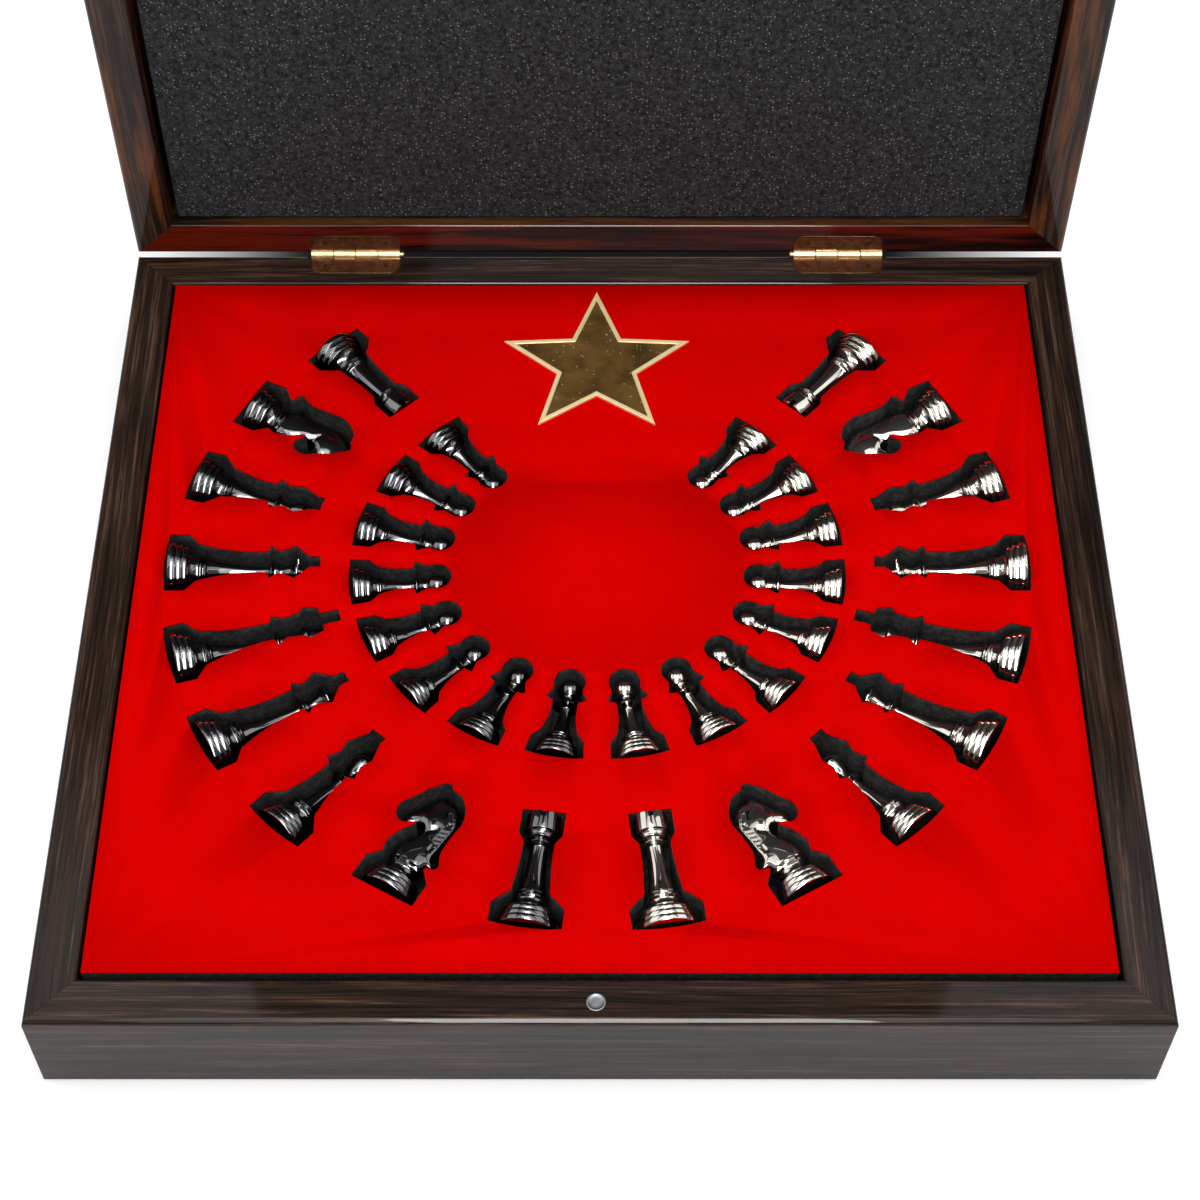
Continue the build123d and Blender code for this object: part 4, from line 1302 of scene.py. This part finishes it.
def soft_box(name, elevation, azimuth, distance, width, height, strength):
    """Rectangular soft light aimed at the tray, its azimuth counted from the front to the right.
    Its strength is its brightness, where 1 is white."""
    aim = Vector((0.0, 0.0, 0.05))
    up, across = radians(elevation), radians(azimuth)
    place = aim + distance * Vector((cos(up) * sin(across), -cos(up) * cos(across), sin(up)))
    light = bpy.data.lights.new(name, "AREA")
    light.shape = "RECTANGLE"
    light.size = width
    light.size_y = height
    light.energy = strength * width * height * pi * settings().stage.lamp
    item = linked(name, light)
    item.location = place
    item.rotation_euler = (place - aim).to_track_quat("Z", "Y").to_euler()
    return item


def studio_floor():
    """Pale floor with a faint glow in view, and a painted shadow: dark where the gap between base and lid
    shows it.
    """
    look = settings().stage
    finish = Finish("studio_floor", roughness=0.9, specular_ior_level=0.0)
    add = finish.add
    grain = noisy(add, finish.place, 6, 2)
    pale = mixed(add, between(add, grain, 0.3, 0.7, 0.0, 0.02), tuple(look.floor), (0.80, 0.80, 0.80))
    spot = parts_of(add, finish.place)
    # Painted shadow: the floor's colour goes dark and its glow goes out in a patch under the gap between
    # base and lid
    across = between(add, calc(add, "ABSOLUTE", spot["X"]), 0.25, 0.15, smooth=True)
    under = times(add, across, between(add, away_from(add, spot["Y"], LID_GAP_Y), 0.06, 0.04))
    finish.feed("Base Color", mixed(add, under, pale, (0.02, 0.02, 0.02)))
    rays = add("ShaderNodeLightPath").outputs
    seen = calc(add, "MAXIMUM", rays["Is Glossy Ray"], rays["Is Transmission Ray"])
    seen = calc(add, "MAXIMUM", rays["Is Camera Ray"], seen)
    finish.shader.inputs["Emission Color"].default_value = (1.0, 1.0, 1.0, 1.0)
    glow = times(add, seen, calc(add, "SUBTRACT", 1.0, under))
    finish.feed("Emission Strength", times(add, glow, look.floor_lift))
    return finish.material


def studio_room():
    """Room light: dim, a little brighter in front, with a bright patch high on either side behind."""
    world = bpy.data.worlds.new("studio")
    world.use_nodes = True
    world.node_tree.nodes.clear()
    add = maker(world.node_tree)
    way = parts_of(add, add("ShaderNodeTexCoord").outputs["Generated"])
    beside = calc(add, "GREATER_THAN", calc(add, "ABSOLUTE", way["X"]), times(add, way["Y"], 0.31))
    high = times(add, between(add, way["Z"], 0.82, 0.86), calc(add, "GREATER_THAN", way["Y"], 0.0))
    dim = between(add, way["Y"], 0.20, 0.40, 0.34, 0.10)
    light = calc(add, "MULTIPLY_ADD", times(add, beside, high), 1.2, dim)
    ahead = times(add, between(add, way["Y"], -0.35, -0.55), between(add, way["Z"], 0.50, 0.42))
    tone = mixed(add, ahead, (1.0, 1.0, 1.0), (0.06, 0.06, 0.06))
    background = add("ShaderNodeBackground", {"Color": tone,
                                              "Strength": times(add, light, settings().stage.sky)})
    add("ShaderNodeOutputWorld", {"Surface": background.outputs[0]})
    return world


class CHESS_CASE_OT_stage(Operator):
    """Set the floor, the room, the soft boxes and the camera"""
    bl_idname = "chess_case.stage"
    bl_label = "Stage"

    def execute(self, context):
        look = settings().stage
        scene = context.scene
        scene.view_settings.view_transform = "Standard"
        shape = bmesh.new()
        bmesh.ops.create_grid(shape, x_segments=8, y_segments=8, size=6.0)
        floor = linked("floor", made_mesh("floor", shape))
        floor.location = (0, 0, -FLOOR_DROP)
        floor.data.materials.append(studio_floor())
        scene.world = studio_room()
        for row in LAMPS:
            lamp = soft_box(*row)
            lamp.visible_diffuse = lamp.name != "reflection_card"
        camera = bpy.data.cameras.new("camera")
        camera.lens = look.lens
        camera.sensor_width = 36.0
        item = linked("camera", camera)
        item.location = CAMERA_PLACE
        item.rotation_euler = (pi / 2 - look.pitch, 0, 0)
        scene.camera = item
        return {"FINISHED"}


STEPS = (CHESS_CASE_OT_wood, CHESS_CASE_OT_foam, CHESS_CASE_OT_velvet, CHESS_CASE_OT_star,
         CHESS_CASE_OT_fittings, CHESS_CASE_OT_pieces, CHESS_CASE_OT_stage)


class CHESS_CASE_PT_panel(Panel):
    """Steps that dress the chess set"""
    bl_idname = "CHESS_CASE_PT_panel"
    bl_label = "Chess set"
    bl_space_type = "VIEW_3D"
    bl_region_type = "UI"
    bl_category = "Chess set"

    def draw(self, context):
        for step in STEPS:
            self.layout.operator(step.bl_idname)


CLASSES = (CaseSettings, TraySettings, PieceSettings, FittingSettings, StageSettings, ChessCaseSettings,
           *STEPS, CHESS_CASE_PT_panel)


def register():
    for item in CLASSES:
        bpy.utils.register_class(item)
    bpy.types.Scene.chess_case = PointerProperty(type=ChessCaseSettings)


def unregister():
    del bpy.types.Scene.chess_case
    for item in reversed(CLASSES):
        bpy.utils.unregister_class(item)


def main():
    """Dress the whole part."""
    register()
    for step in STEPS:
        group, name = step.bl_idname.split(".")
        getattr(getattr(bpy.ops, group), name)()


if __name__ == "__main__":
    main()
